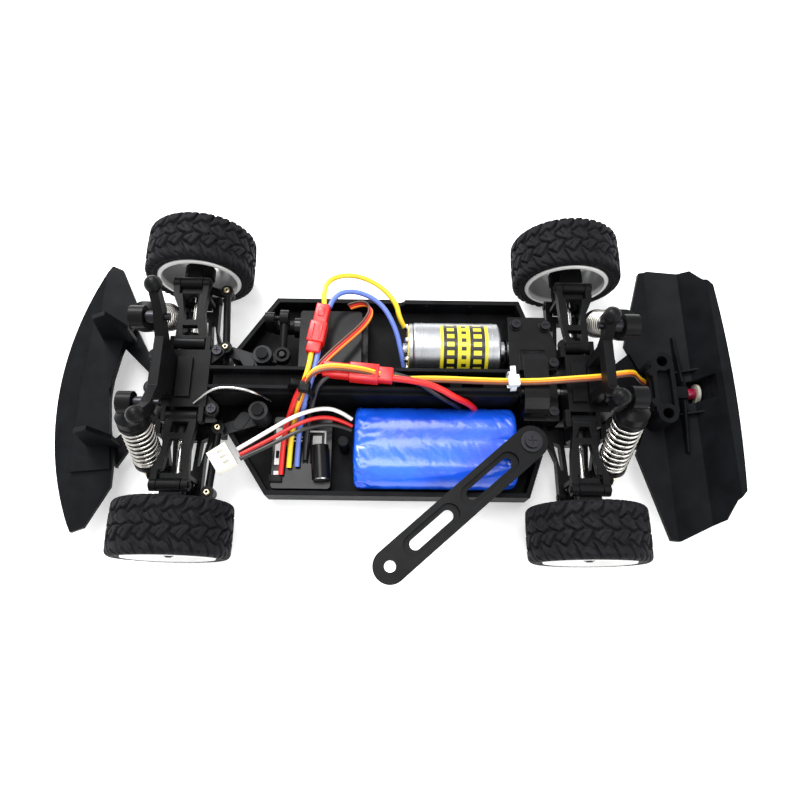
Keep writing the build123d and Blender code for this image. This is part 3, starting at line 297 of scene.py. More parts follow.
def slab(name, size, origin, turn, material, body, bevel=0.4, tilt=(0, 0)):
    """A box with rounded edges, centred at `origin`, turned about Z, in mm."""
    fix = bmesh.new()
    bmesh.ops.create_cube(fix, size=1)
    bmesh.ops.scale(fix, vec=Vector(size) * MM, verts=fix.verts)
    bmesh.ops.bevel(fix, geom=list(fix.edges), offset=bevel * MM, segments=3, affect="EDGES", profile=0.5)
    mesh = bpy.data.meshes.new(name)
    fix.to_mesh(mesh)
    fix.free()
    place = Matrix.Translation(mm(origin)) @ Matrix.Rotation(radians(turn), 4, "Z")
    place = place @ Matrix.Rotation(radians(tilt[0]), 4, "X") @ Matrix.Rotation(radians(tilt[1]), 4, "Y")
    mesh.transform(place)
    mesh.materials.append(material)
    mesh.polygons.foreach_set("use_smooth", [True] * len(mesh.polygons))
    made = bpy.data.objects.new(name, mesh)
    bpy.context.scene.collection.objects.link(made)
    sharpen(made, 40)
    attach(made, body)
    return made


def wire(name, points, diameter, material, body="chassis"):
    """A round wire along a smooth NURBS line through the control points, in mm."""
    data = bpy.data.curves.new(name, "CURVE")
    data.dimensions = "3D"
    data.bevel_depth = diameter * MM / 2
    data.bevel_resolution = 4
    data.resolution_u = 8
    data.use_fill_caps = True
    spline = data.splines.new("NURBS")
    spline.points.add(len(points) - 1)
    for point, place in zip(spline.points, points):
        point.co = (*mm(place), 1)
    spline.order_u = 3
    spline.use_endpoint_u = True
    data.materials.append(material)
    made = bpy.data.objects.new(name, data)
    bpy.context.scene.collection.objects.link(made)
    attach(made, body)
    return made


def spline_length(made):
    """Length in metres of a wire's centre line, measured on a bare copy of it."""
    line = made.data.copy()
    line.bevel_depth = 0.0
    bare = bpy.data.objects.new("bare_line", line)
    mesh = bpy.data.meshes.new_from_object(bare)
    at = [v.co for v in mesh.vertices]
    total = sum((a - b).length for a, b in zip(at, at[1:]))
    bpy.data.meshes.remove(mesh)
    bpy.data.objects.remove(bare)
    bpy.data.curves.remove(line)
    return total


# --- the loose balance lead -------------------------------------------------------------
PLUG_AT, PLUG_TURN = (63.4, 32.9, 24.6), 34.0
BALANCE_D = 1.7
BALANCE_ROUTES = {
    "white": ((12.3, 14.2, 19.0), (18.0, 11.0, 22.6), (26.0, 11.4, 25.4), (36.0, 15.6, 26.8),
              (46.4, 22.2, 26.2),
              (57.6, 28.9, 24.8)),
    "red": ((12.3, 16.6, 17.2), (18.4, 14.4, 21.0), (26.4, 14.6, 23.6), (35.4, 18.6, 24.8),
            (45.6, 25.0, 24.2),
            (56.8, 31.0, 24.0)),
    "black": ((12.3, 19.0, 19.0), (18.4, 17.0, 20.2), (24.5, 17.6, 22.6), (33.0, 20.8, 25.6),
              (45.0, 27.6, 25.6),
              (56.2, 33.0, 25.2)),
}


def make_plug():
    """Three-way white plug with its latch ridges and sockets."""
    shell = slab("balance_plug_shell", (8.4, 9.6, 5.4), PLUG_AT, PLUG_TURN, IVORY, "chassis",
                 bevel=0.3)
    turn = radians(PLUG_TURN)
    ahead, across = Vector((cos(turn), sin(turn), 0)), Vector((-sin(turn), cos(turn), 0))
    parts = [shell]
    for i, y in enumerate((-2.5, 0, 2.5)):
        at = Vector(PLUG_AT) - ahead * 0.9 + across * y + Vector((0, 0, 2.66))
        parts.append(slab(f"balance_plug_window_{i}", (2.6, 1.3, 0.3), at, PLUG_TURN, SHADE, "chassis",
                          bevel=0.08))
    for i, y in enumerate((-4.0, 4.0)):
        at = Vector(PLUG_AT) + ahead * 0.8 + across * y + Vector((0, 0, 2.55))
        parts.append(slab(f"balance_plug_rail_{i}", (6.4, 0.9, 0.7), at, PLUG_TURN, IVORY, "chassis",
                          bevel=0.15))
    for part in parts:
        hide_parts("balance_plug")
    return parts


shell, window_a, window_b, window_c, rail_a, rail_b = make_plug()
for colour, route in BALANCE_ROUTES.items():
    lead = wire(f"balance_wire_{colour}", route, BALANCE_D, WIRE[colour])
    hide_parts("balance_lead")
    spline_length(lead)


# --- wiring held between its housings ---------------------------------------------------
POWER_D, RIBBON_D, LIGHT_D = 2.2, 1.1, 1.05


def shifted(points, dx=0.0, dy=0.0, dz=0.0):
    return [(x + dx, y + dy, z + dz) for x, y, z in points]


def make_harness():
    made = []

    def run(name, colour, points, diameter):
        made.append(wire(name, points, diameter, WIRE[colour]))

    run("motor_lead_yellow_a", "yellow", ((38.4, 33.5, 12.2), (38.0, 25.0, 14.4), (36.4, 16.0, 19.4),
        (33.6, 8.6, 28.2), (31.4, 3.0, 33.4), (29.4, -4.0, 34.2), (28.9, -10.2, 33.4)), POWER_D)
    run("motor_lead_blue_a", "blue", ((35.0, 33.0, 12.2), (34.8, 25.0, 14.4), (33.6, 16.0, 19.4),
        (31.0, 8.6, 28.2), (28.8, 3.0, 33.2), (26.8, -4.0, 34.0), (26.2, -10.4, 33.4)), POWER_D)
    run("power_lead_red_a", "red", ((41.6, 36.5, 12.2), (41.2, 26.0, 14.8), (39.0, 16.4, 21.0),
                                    (34.6, 8.0, 31.0),
        (30.2, 2.0, 36.2), (25.8, -1.8, 34.8), (22.0, -2.2, 33.6)), POWER_D)
    run("power_lead_black_a", "black", ((31.8, 30.0, 12.2), (31.4, 22.0, 15.4), (29.6, 13.6, 21.6),
        (27.4, 7.4, 30.2), (25.0, 2.6, 33.0), (21.0, -0.6, 32.6)), POWER_D)
    run("power_lead_red_b", "red", ((-4.0, 1.0, 34.0), (-14.0, 2.0, 34.2), (-23.0, 4.6, 33.4),
                                    (-30.6, 7.6, 29.0),
        (-36.6, 8.0, 23.4), (-39.4, 8.0, 16.4)), POWER_D + 0.5)
    run("power_lead_black_b", "black", ((-4.0, -1.4, 32.8), (-13.0, 1.0, 33.0), (-20.0, 5.4, 32.0),
        (-26.6, 7.8, 27.0), (-31.0, 8.0, 21.6), (-33.0, 8.0, 16.4)), POWER_D)
    run("motor_lead_yellow_b", "yellow", ((24.4, -30.6, 34.0), (25.4, -39.0, 34.0), (21.0, -45.4, 32.4),
        (11.6, -47.4, 30.4), (1.4, -43.6, 28.6), (-5.8, -36.0, 27.0), (-7.2, -30.2, 24.0),
        (-9.4, -27.6, 20.6)),
        POWER_D)
    run("motor_lead_blue_b", "blue", ((22.4, -30.2, 33.4), (20.6, -37.4, 32.0), (11.4, -40.6, 29.2),
        (0.6, -36.0, 27.0), (-5.6, -25.2, 25.0), (-8.2, -15.0, 22.0), (-9.4, -9.9, 18.4)), POWER_D)
    servo = ((14.6, -36.4, 21.6), (8.6, -38.0, 24.0), (4.4, -33.0, 26.2), (7.6, -25.0, 28.4),
             (16.4, -15.0, 31.6),
             (24.2, -6.0, 33.6), (29.8, 2.4, 33.4), (34.2, 10.0, 27.0), (37.4, 18.0, 18.0),
             (39.6, 24.0, 12.4))
    for shift, colour in ((-1, "orange"), (0, "red"), (1, "brown")):
        run(f"servo_lead_{colour}", colour, shifted(servo, dx=shift * 0.6, dy=-shift * 0.7, dz=shift * 0.3),
            RIBBON_D)
    light = ((33.4, 9.0, 31.0), (30.4, 2.6, 37.0), (24.4, -2.4, 38.0), (8.0, -1.4, 37.8), (-6.0, 1.6, 33.2),
             (-20.0, 0.4, 32.2), (-44.0, 1.2, 32.2), (-62.0, 1.6, 33.2), (-76.0, 1.2, 36.0),
             (-88.0, 0.6, 37.2),
             (-98.0, -2.2, 34.4), (-105.0, -4.8, 28.4), (-109.0, -5.6, 20.6), (-114.6, -4.4, 15.4),
             (-122.5, -1.0, 14.6))
    for shift, colour in ((-1, "yellow"), (0, "orange"), (1, "brown")):
        run(f"light_lead_{colour}", colour, shifted(light, dy=shift * LIGHT_D * 0.92), LIGHT_D)
    return made


def make_connectors():
    """Two red two-part connectors, each with its latch windows and collar."""
    made = []
    for name, a, b, z, width in (("motor_plug", (24.6, -31.0), (28.4, -9.5), 33.5, 6.4),
                                 ("power_plug", (24.0, -2.6), (-4.5, 0.0), 33.5, 6.6)):
        a, b = Vector((*a, z)), Vector((*b, z))
        line = b - a
        turn = degrees(atan2(line.y, line.x))
        for part, (low, high, grow) in enumerate(((0.0, 0.42, -0.7), (0.38, 0.80, 0.6), (0.78, 1.0, -0.7))):
            centre = a + line * ((low + high) / 2)
            size = (line.length * (high - low), width + grow, 5.4 + grow)
            made.append(slab(f"{name}_{part}", size, centre, turn, RED, "chassis", bevel=0.55))
        across = Vector((-line.y, line.x, 0)).normalized()
        for k in (-1, 1):
            at = a + line * 0.60 + across * k * 1.7 + Vector((0, 0, 3.0))
            made.append(slab(f"{name}_rib_{k + 1}", (line.length * 0.3, 0.9, 0.7), at, turn, RED, "chassis",
                             bevel=0.2))
        at = a + line * 0.18 + Vector((0, 0, 2.35))
        made.append(slab(f"{name}_latch", (line.length * 0.18, 2.6, 0.8), at, turn, RED, "chassis",
                         bevel=0.25))
    return made


def tie_band(name, centre, axis, half, thick, material, head_turn=0.0):
    """A cable tie: a flat band on a rounded-rectangle loop, with its head and cut tail."""
    axis = Vector(axis).normalized()
    side = axis.cross(Vector((0, 0, 1))).normalized()
    up = side.cross(axis)
    steps, verts = 40, []
    for i in range(steps):
        a = tau * i / steps
        c, s = cos(a), sin(a)
        stretch = 1 / max(abs(c) ** 2.6 + abs(s) ** 2.6, 1e-6) ** (1 / 2.6)
        for grow, run in ((0, -1.2), (thick, -1.2), (thick, 1.2), (0, 1.2)):
            at = side * c * (half[0] + grow) * stretch + up * s * (half[1] + grow) * stretch
            verts.append(Vector(centre) + at + axis * run)
    band = piece(name, verts, grid_faces(steps, 4, close_rows=True), material, "chassis")
    sharpen(band, 35)
    turn = degrees(atan2(side.y, side.x)) + head_turn
    top = Vector(centre) + up * (half[1] + 1.0) - side * 1.2
    head = slab(name + "_head", (4.6, 4.4, 3.2), top, turn, material, "chassis", bevel=0.5)
    tail = slab(name + "_tail", (5.0, 2.2, 0.9), top + side * 3.4 + Vector((0, 0, 0.9)), turn, material,
                "chassis",
                bevel=0.2, tilt=(0, -14))
    return [band, head, tail]


harness = make_harness() + make_connectors()
harness += tie_band("white_tie", (-53.0, 0.6, 30.4), (1, 0.1, 0), (3.3, 3.6), 0.8, TIE)
harness += tie_band("black_tie", (32.6, 6.2, 30.4), (0.4, 0.75, 0.3), (5.0, 3.4), 0.8, PARTS, 20)
for part in harness:
    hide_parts("wiring_harness")
lamp = lathe("tail_lamp", [(0.01, -4.8), (1.6, -4.6), (2.4, -3.6), (2.4, 0), (0.01, 0)], (-131.1, 0, 15.8),
             (1, 0, 0), LAMP, "chassis", 32)
collar = lathe("tail_lamp_collar", [(2.4, -4.7), (4.2, -4.7), (4.2, -3.5), (2.4, -3.5)], (-131.1, 0, 15.8),
               (1, 0, 0), SHADE, "chassis", 40)
for part in (lamp, collar):
    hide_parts("wiring_harness")


def lamp_cup(name, outline, low, high):
    """One wall of the dark cup behind the lamp: an outline in X and Z, from `low` to `high` in Y."""
    count = len(outline)
    verts = [(x, y, z) for y in (low, high) for x, z in outline]
    faces = [(i, (i + 1) % count, count + (i + 1) % count, count + i) for i in range(count)]
    faces += [tuple(range(count))[::-1], tuple(range(count, 2 * count))]
    sharpen(piece(name, verts, faces, SHELL, "chassis"), 30)


lamp_cup("lamp_cup_back", [(-130.5, 14.2), (-130.5, 11.8), (-136.9, 11.8), (-139.1, 23.4), (-138.2, 23.2),
                           (-136.2, 12.6), (-131.2, 12.6), (-131.2, 14.6)], -5.6, 5.6)
for i, y in enumerate((-5.6, 4.9)):
    lamp_cup(f"lamp_cup_side_{i}", [(-130.5, 14.2), (-130.5, 11.8), (-136.9, 11.8), (-139.1, 23.4),
                                    (-135.2, 17.2)], y, y + 0.7)
# bent bright clip wire between the front tower and the steering
antenna = wire("steel_clip", ((75.9, 11.2, 29.6), (71.6, 8.0, 31.8), (66.0, 5.2, 32.4), (57.0, 5.6, 32.4),
                              (51.4, 6.9, 31.0), (48.6, 6.9, 26.0), (46.4, 6.8, 20.0)), 1.1, STEEL)
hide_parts("wiring_harness")


# --- tyres ------------------------------------------------------------------------------
TREADS = 21


def smooth(value, low, high):
    t = min(1.0, max(0.0, (value - low) / (high - low)))
    return t * t * (3 - 2 * t)


def triangle(value):
    return 4 * abs(value - floor(value + 0.5)) - 1


def tread_height(turn, y):
    """0 in a groove, 1 on a block; `turn` in tread pitches, y in mm across the tyre."""
    side = 1 if y > 0 else -1
    u, a = turn + (0.5 if side > 0 else 0.0), abs(y)
    pitch = tau * TYRE_R / TREADS
    height = smooth(abs(y - 0.8 * triangle(turn)), 0.30, 0.62)
    ring = 5.0 + 1.25 * triangle(u + 0.2)
    height *= smooth(abs(a - ring), 0.36, 0.72)
    if a < ring:
        phase = u + 0.11 * a
        gap = abs(phase - floor(phase + 0.5)) * pitch
        height *= smooth(gap, 0.48, 0.86)
        sipe = abs(phase + 0.5 - floor(phase + 1.0)) * pitch
        height *= 1 - 0.55 * (1 - smooth(sipe, 0.10, 0.30)) * smooth(a, 1.4, 2.2)
    else:
        phase = u + 0.46 - 0.10 * (a - ring)
        gap = abs(phase - floor(phase + 0.5)) * pitch
        height *= smooth(gap, 0.60, 1.0)
        notch = abs(phase + 0.5 - floor(phase + 1.0)) * pitch
        height *= 1 - 0.6 * (1 - smooth(notch, 0.2, 0.5)) * smooth(a, 8.4, 9.2)
    return height


def tyre_section():
    """(radius, y, groove depth) round the closed section, from the inner bead over the crown."""
    section = []
    for side in (-1, 1):
        wall = [(18.05, 9.9, 0), (18.9, 10.5, 0), (19.5, 10.75, 0), (19.7, 10.45, 0), (20.1, 10.45, 0),
                (20.3, 10.85, 0), (20.9, 10.97, 0), (21.1, 11.0, 0.25), (21.6, 10.95, 0.5), (22.1, 10.8, 0.8),
                (22.5, 10.6, 1.0), (22.9, 10.35, 1.2), (23.2, 10.05, 1.3), (23.45, 9.7, 1.4),
                (23.62, 9.3, 1.4)]
        wall = [(r, side * y, d) for r, y, d in wall]
        if side < 0:
            section += wall
            steps = 44
            for i in range(steps + 1):
                y = -8.95 + 17.9 * i / steps
                section.append((TYRE_R - 0.02 - 0.28 * (y / 9.2) ** 2, y, 1.4))
        else:
            section += wall[::-1]
    section += [(17.9, 7.0, 0), (17.9, -7.0, 0)]
    return section


def tyre_mesh():
    around = 28 * TREADS
    section = tyre_section()
    verts = []
    for i in range(around):
        turn = TREADS * i / around
        c, s = cos(tau * i / around), sin(tau * i / around)
        for r, y, depth in section:
            cut = depth * (1 - tread_height(turn, y)) if depth else 0.0
            flat = smooth(abs(y), 9.2, 10.6)
            radius, across = r - cut * (1 - flat * 0.6), y - (1 if y > 0 else -1) * cut * flat * 0.6
            verts.append((radius * c, across, radius * s))
    mesh = bpy.data.meshes.new("tyre_tread")
    mesh.from_pydata([Vector(v) * MM for v in verts], [], grid_faces(around, len(section), close_rows=True))
    fix = bmesh.new()
    fix.from_mesh(mesh)
    bmesh.ops.recalc_face_normals(fix, faces=fix.faces)
    fix.to_mesh(mesh)
    fix.free()
    mesh.polygons.foreach_set("use_smooth", [True] * len(mesh.polygons))
    return mesh


def tyre_material():
    s = Shader("tyre_rubber", 0.62, specular=0.07)
    dust = s.noise(2.2, 4.0, 0.65)
    s.link(s.ramp(dust, [(0.30, (0.0045, 0.0045, 0.0055)), (0.62, (0.0105, 0.0105, 0.0125)),
                         (0.80, (0.018, 0.018, 0.0185))]), "Base Color")
    s.link(s.math("ADD", s.math("MULTIPLY", s.noise(1.5), 0.22), 0.52), "Roughness")
    s.bump(s.noise(0.35, 3.0), 0.45, 0.08)
    return s.material


def rim_material():
    """White moulding; the inside of the barrel is darkened with painted shade."""
    s = Shader("white_rim", 0.34)
    offset = s.math("ABSOLUTE", s.node("ShaderNodeSeparateXYZ", Vector=s.coords).outputs["Y"])
    inner = s.math("SUBTRACT", s.math("MULTIPLY", offset, 1000.0), WHEEL_Y)
    white, painted_shade = (0.74, 0.74, 0.73), (0.20, 0.20, 0.205)
    depth = s.math("DIVIDE", s.math("ADD", inner, 12.0), 24.0)
    # painted shade: a dark grey band over the inside of the barrel, from the inboard lip to the spokes
    s.link(s.ramp(depth, [(0.10, white), (0.16, painted_shade), (0.62, painted_shade), (0.70, white)]), "Base Color")
    s.bump(s.noise(0.4, 2.0), 0.1, 0.05, 0.3)
    return s.material


def make_rim(name, x, side, material):
    """White rim: barrel open inboard and dished ten-window face outboard, with its boss and nut."""
    hub = (x, side * WHEEL_Y, WHEEL_Z)
    out = (0, side, 0)
    barrel = [(16.6, -11.0), (17.9, -11.0), (18.3, -10.4), (17.9, -9.6), (17.9, 9.6), (18.2, 10.3),
              (17.9, 10.9),
              (17.2, 11.0), (16.7, 10.2), (15.6, 8.4), (14.9, 7.4), (15.3, 6.2), (16.5, 5.4), (16.5, -10.4)]
    parts = [lathe(f"{name}_rim_barrel", barrel, hub, out, material, f"{name}_wheel", 96)]
    # spokes
    axis, up = Vector(out), Vector((0, 0, 1))
    right = up.cross(axis)
    verts, faces = [], []
    for k in range(10):
        a = tau * k / 10
        radial = right * cos(a) + up * sin(a)
        flank = axis.cross(radial)
        rows = [(4.2, 1.5, 7.2, 4.6), (7.5, 1.15, 7.5, 5.0), (11.5, 1.3, 7.9, 5.4), (15.4, 2.3, 8.1, 5.8)]
        base = len(verts)
        for radius, half, top, low in rows:
            for w, h in ((-half, low), (-half, top - 0.5), (-half + 0.5, top), (half - 0.5, top),
                         (half, top - 0.5), (half, low)):
                verts.append(Vector(hub) + radial * radius + flank * w + axis * h)
        faces += [tuple(base + i for i in f) for f in grid_faces(4, 6)]
        faces += [tuple(base + i for i in range(6)), tuple(base + 18 + i for i in range(5, -1, -1))]
    spokes = piece(f"{name}_rim_spokes", verts, faces, material, f"{name}_wheel")
    sharpen(spokes, 40)
    parts.append(spokes)
    boss = [(0.01, -4.1), (3.6, -4.1), (4.9, -3.2), (5.2, 4.6), (5.6, 6.0), (5.2, 8.0), (4.2, 8.6),
            (3.0, 8.6),
            (2.8, 7.6), (0.01, 7.6)]
    parts.append(lathe(f"{name}_rim_boss", boss, hub, out, material, f"{name}_wheel", 48))
    nut = [(0.01, 7.4), (2.45, 7.4), (2.45, 9.6), (2.0, 10.1), (1.4, 10.1), (1.3, 10.5), (0.01, 10.5)]
    parts.append(lathe(f"{name}_wheel_nut", nut, hub, out, SCREW, f"{name}_wheel", 6))
    # axle and its drive cup
    axle = [(0.01, -10.0), (2.5, -10.0), (2.5, -4.0), (0.01, -4.0)]
    parts.append(lathe(f"{name}_axle", axle, hub, out, STEEL, f"{name}_wheel", 32))
    cup = [(0.01, -9.9), (4.0, -9.9), (4.0, -16.6), (3.7, -17.0), (3.2, -17.0), (3.2, -10.5), (0.01, -10.5)]
    parts.append(lathe(f"{name}_axle_cup", cup, hub, out, SCREW, f"{name}_wheel", 40))
    for part in parts:
        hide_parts(f"{name}_rim")


tread = tyre_mesh()
tread.materials.append(tyre_material())
rim_white = rim_material()
for name, end, side in CORNERS:
    tyre = bpy.data.objects.new(f"{name}_treaded_tyre", tread.copy())
    bpy.context.scene.collection.objects.link(tyre)
    spin = Matrix.Rotation(0.21 * (end + 2 * side), 4, "Y")
    tyre.data.transform(Matrix.Translation(mm((end * AXLE_X, side * WHEEL_Y, WHEEL_Z))) @ spin)
    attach(tyre, f"{name}_wheel")
    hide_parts(f"{name}_tyre")
    make_rim(name, end * AXLE_X, side, rim_white)


# --- shock springs ------------------------------------------------------------------------
SHOCK_DX, SHOCK_FOOT = 12.3, (35.5, 10.0)
SHOCK_TOP = {1: (17.5, 49.5), -1: (14.5, 54.0)}
TURNS = {1: 9, -1: 10}
SPRING_R, SPRING_WIRE, CAP_END, CUP_BACK = 5.55, 0.6, 12.0, 10.0


def shock_line(end, side):
    x = end * (AXLE_X + SHOCK_DX)
    top = Vector((x, side * SHOCK_TOP[end][0], SHOCK_TOP[end][1]))
    foot = Vector((x, side * SHOCK_FOOT[0], SHOCK_FOOT[1]))
    return top, foot, (foot - top).normalized(), (foot - top).length


def make_spring(name, end, side):
    top, foot, along, length = shock_line(end, side)
    start, finish = CAP_END + SPRING_WIRE, length - CUP_BACK - SPRING_WIRE
    across = Vector((1, 0, 0))
    other = along.cross(across)
    steps, ring, verts = 40 * TURNS[end], 12, []
    for i in range(steps + 1):
        t = i / steps
        # closed coils at both ends
        turns = TURNS[end] * t
        eased = min(turns, 1.0) * 0.5 + max(0.0, min(turns - 1, TURNS[end] - 2))
        eased += max(0.0, turns - TURNS[end] + 1) * 0.5
        run = start + (finish - start) * eased / (TURNS[end] - 1)
        a = tau * turns
        out = across * cos(a) + other * sin(a)
        for j in range(ring):
            b = tau * j / ring
            verts.append(top + along * (run + SPRING_WIRE * sin(b)) + out * (SPRING_R + SPRING_WIRE * cos(b)))
    faces = grid_faces(steps + 1, ring)
    faces += [tuple(range(ring))[::-1], tuple(steps * ring + j for j in range(ring))]
    spring = piece(f"{name}_coil_spring", verts, faces, SPRING, None)
    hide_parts("shock_springs")
    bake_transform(spring)


for name, end, side in CORNERS:
    make_spring(name, end, side)


# --- battery ------------------------------------------------------------------------------
def wrap_material():
    s = Shader("blue_wrap", 0.24, coat=0.35, specular=0.6)
    s.bsdf.inputs["Coat Roughness"].default_value = 0.14
    s.link(s.ramp(s.noise(22.0, 3.0), [(0.3, (0.004, 0.060, 0.56)), (0.7, (0.008, 0.110, 0.82))]),
           "Base Color")
    s.link(s.math("ADD", s.math("MULTIPLY", s.noise(5.0), 0.14), 0.18), "Roughness")
    creases = s.math("ADD", s.noise(6.5, 5.0, 0.6), s.math("MULTIPLY", s.noise(1.6, 3.0), 0.25))
    s.bump(creases, 0.3, 0.4)
    return s.material


def make_battery():
    """Two cells side by side in shrunk film: crowned over each cell, drawn in and creased at the ends."""
    low, high = (-57.3, 6.5, 2.3), (11.9, 42.1, 19.9)
    cells, radius = (15.45, 33.15), 8.72
    centre_z = (low[2] + high[2]) / 2
    middle_y = (low[1] + high[1]) / 2
    rows, columns, verts = 150, 128, []

    def outline(a):
        """Film section: half circles outside, a shallow saddle between the cells."""
        straight = (cells[1] - cells[0]) / 2
        perimeter = tau * radius + 4 * straight
        run = (a % tau) / tau * perimeter
        quarter = pi * radius / 2
        if run < quarter:
            b = run / radius
            return straight + radius * cos(b), radius * sin(b)
        if run < quarter + 2 * straight:
            t = (run - quarter) / (2 * straight)
            return straight * (1 - 2 * t), radius - 0.95 * sin(pi * t) ** 2
        if run < 3 * quarter + 2 * straight:
            b = (run - quarter - 2 * straight) / radius + pi / 2
            return -straight + radius * cos(b), radius * sin(b)
        if run < 3 * quarter + 4 * straight:
            t = (run - 3 * quarter - 2 * straight) / (2 * straight)
            return -straight * (1 - 2 * t), -radius + 0.95 * sin(pi * t) ** 2
        b = (run - 3 * quarter - 4 * straight) / radius + 3 * pi / 2
        return straight + radius * cos(b), radius * sin(b)

    length = high[0] - low[0]
    for i in range(rows):
        t = i / (rows - 1)
        x = low[0] + length * (0.5 - 0.5 * cos(pi * t)) if not 0.12 < t < 0.88 else None
        if x is None:
            edge = 0.5 - 0.5 * cos(pi * 0.12)
            x = low[0] + length * (edge + (1 - 2 * edge) * (t - 0.12) / 0.76)
        from_end = min(x - low[0], high[0] - x)
        # rounded shoulder, then a slightly hollow end
        shrink = 1 - 0.22 * (1 - min(1.0, from_end / 3.2)) ** 2.4
        if from_end < 0.9:
            shrink *= max(0.02, (from_end / 0.9)) ** 0.5
        for j in range(columns):
            a = tau * j / columns
            y, z = outline(a)
            wrinkle = 0.0
            near = max(0.0, 1 - from_end / 13.0)
            crease = noise.noise(Vector((x * 0.10, a * 5.5, 2.0)))
            wrinkle += near * 1.5 * min(0.0, crease)
            across = x * 0.20 + y * 0.16
            fold = noise.noise(Vector((across, y * 0.05 - x * 0.03, z * 0.12)))
            ridge = 1 - min(1.0, abs(fold) * 7)
            wrinkle -= ridge * (0.06 + 0.5 * near * near)
            wrinkle += 0.16 * min(0.0, fold) + 0.05 * noise.noise(Vector((x * 0.35, y * 0.35, z * 0.35)))
            grow = 1 + (min(0.0, wrinkle) / radius)
            verts.append((x, middle_y + y * shrink * grow, centre_z + z * shrink * grow))
    faces = grid_faces(rows, columns)
    faces += [tuple(range(columns))[::-1], tuple((rows - 1) * columns + j for j in range(columns))]
    pack = piece("battery_wrap_film", verts, faces, wrap_material(), "chassis")
    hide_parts("battery_pack")


make_battery()


# --- motor details ------------------------------------------------------------------------
def stripe_material():
    """Yellow label with black bands, no lettering."""
    s = Shader("motor_label", 0.3, coat=0.3)
    parts = s.node("ShaderNodeSeparateXYZ", Vector=s.coords)
    x = s.math("MULTIPLY", parts.outputs["X"], 1000.0)
    around = s.math("ARCTAN2", s.math("ADD", parts.outputs["Z"], -MOTOR_Z * MM),
                    s.math("ADD", parts.outputs["Y"], -MOTOR_Y * MM))
    place = s.math("DIVIDE", s.math("SUBTRACT", -24.6, x), 20.4)

    def within(value, low, high):
        return s.math("MULTIPLY", s.math("GREATER_THAN", value, low), s.math("LESS_THAN", value, high))

    columns = s.math("MAXIMUM", within(place, 0.07, 0.36), within(place, 0.62, 0.93))
    ticks = s.math("GREATER_THAN", s.math("FRACT", s.math("MULTIPLY", around, 3.3)), 0.45)
    inner = s.math("MAXIMUM", within(place, 0.14, 0.29), within(place, 0.69, 0.86))
    middle = s.math("MULTIPLY", within(place, 0.44, 0.54), s.math("SUBTRACT", 1.0, ticks))
    dark = s.math("MAXIMUM", s.math("SUBTRACT", columns, s.math("MULTIPLY", inner, ticks)), middle)
    s.link(s.mix(dark, (0.60, 0.52, 0.02), (0.008, 0.008, 0.008)), "Base Color")
    s.link(s.math("ADD", s.math("MULTIPLY", s.noise(2.0), 0.1), 0.25), "Roughness")
    s.bump(s.noise(1.0), 0.08, 0.05)
    return s.material


def make_motor_parts():
    # label round the upper half of the can
    verts, steps, radius = [], 60, MOTOR_R + 0.10
    for i in range(steps + 1):
        a = radians(-18) + radians(150) * i / steps
        for x, r in ((-45.0, radius), (-24.6, radius), (-24.6, radius - 0.25), (-45.0, radius - 0.25)):
            verts.append((x, MOTOR_Y + r * cos(a), MOTOR_Z + r * sin(a)))
    faces = grid_faces(steps + 1, 4) + [(3, 2, 1, 0), tuple(steps * 4 + i for i in range(4))]
    label = piece("motor_label", verts, faces, stripe_material(), "chassis")
    sharpen(label, 30)
    # rolled seam and the end board with its solder
    lathe("motor_end_board", [(8.2, 0), (11.2, 0), (11.2, 0.8), (8.2, 0.8)], (-11.6, MOTOR_Y, MOTOR_Z),
          (1, 0, 0),
          BOARD, "chassis", 72)
    for i, (y, z) in enumerate(((-11.6, 22.6), (-27.4, 20.6), (-9.6, 17.6), (-19.4, 25.0))):
        lathe(f"motor_solder_{i}", [(0.01, 0), (1.5, 0), (1.35, 0.8), (0.8, 1.4), (0.01, 1.6)], (-10.9, y, z),
              (1, 0, 0), SOLDER, "chassis", 20)
    for i, x in enumerate((-47.2, -17.0)):
        lathe(f"motor_can_bead_{i}", [(MOTOR_R - 0.4, -0.5), (MOTOR_R + 0.12, -0.3), (MOTOR_R + 0.12, 0.3),
                                      (MOTOR_R - 0.4, 0.5)], (x, MOTOR_Y, MOTOR_Z), (1, 0, 0),
              CAN, "chassis", 72)


CAN = metal("motor_can", (0.43, 0.44, 0.46), 0.34, brushed=(0.06, 1.0, 1.0))
make_motor_parts()


# --- controller details --------------------------------------------------------------------
def make_controller_parts():
    patches = [(43.6, 24.0, 2.6, 16.0, LABEL), (43.7, 27.6, 1.4, 3.2, PARTS), (43.6, 36.4, 2.6, 3.4, LABEL),
               (27.4, 17.4, 7.6, 0.7, LABEL), (23.8, 20.4, 0.7, 6.6, LABEL), (27.2, 21.2, 3.8, 3.8, LABEL),
               (31.6, 19.6, 1.6, 1.6, LABEL), (36.0, 20.0, 5.0, 0.6, LABEL), (36.0, 21.6, 5.0, 0.6, LABEL)]
    for i, (x, y, w, h, look) in enumerate(patches):
        lift = 0.12 if look is PARTS else 0.0
        slab(f"controller_label_{i}", (w, h, 0.25), (x, y, 10.64 + lift), 0.0, look, "chassis",
             bevel=0.06)
    lathe("capacitor_top", [(0.01, -0.4), (2.6, -0.4), (3.0, 0.0), (2.9, 0.25), (0.01, 0.25)],
          (24.6, 38.6, 14.2),
          (-0.085, 1, 0), SOLDER, "chassis", 32)
    # slide switch and a cooling grid on the lid
    slab("controller_switch", (5.6, 3.0, 1.6), (44.0, 38.0, 11.2), 0, PARTS, "chassis",
         bevel=0.2)
    for i in range(6):
        slab(f"controller_rib_{i}", (0.7, 7.0, 1.4), (29.6 + i * 1.5, 27.6, 11.1), 0, PARTS, "chassis",
             bevel=0.15)


make_controller_parts()
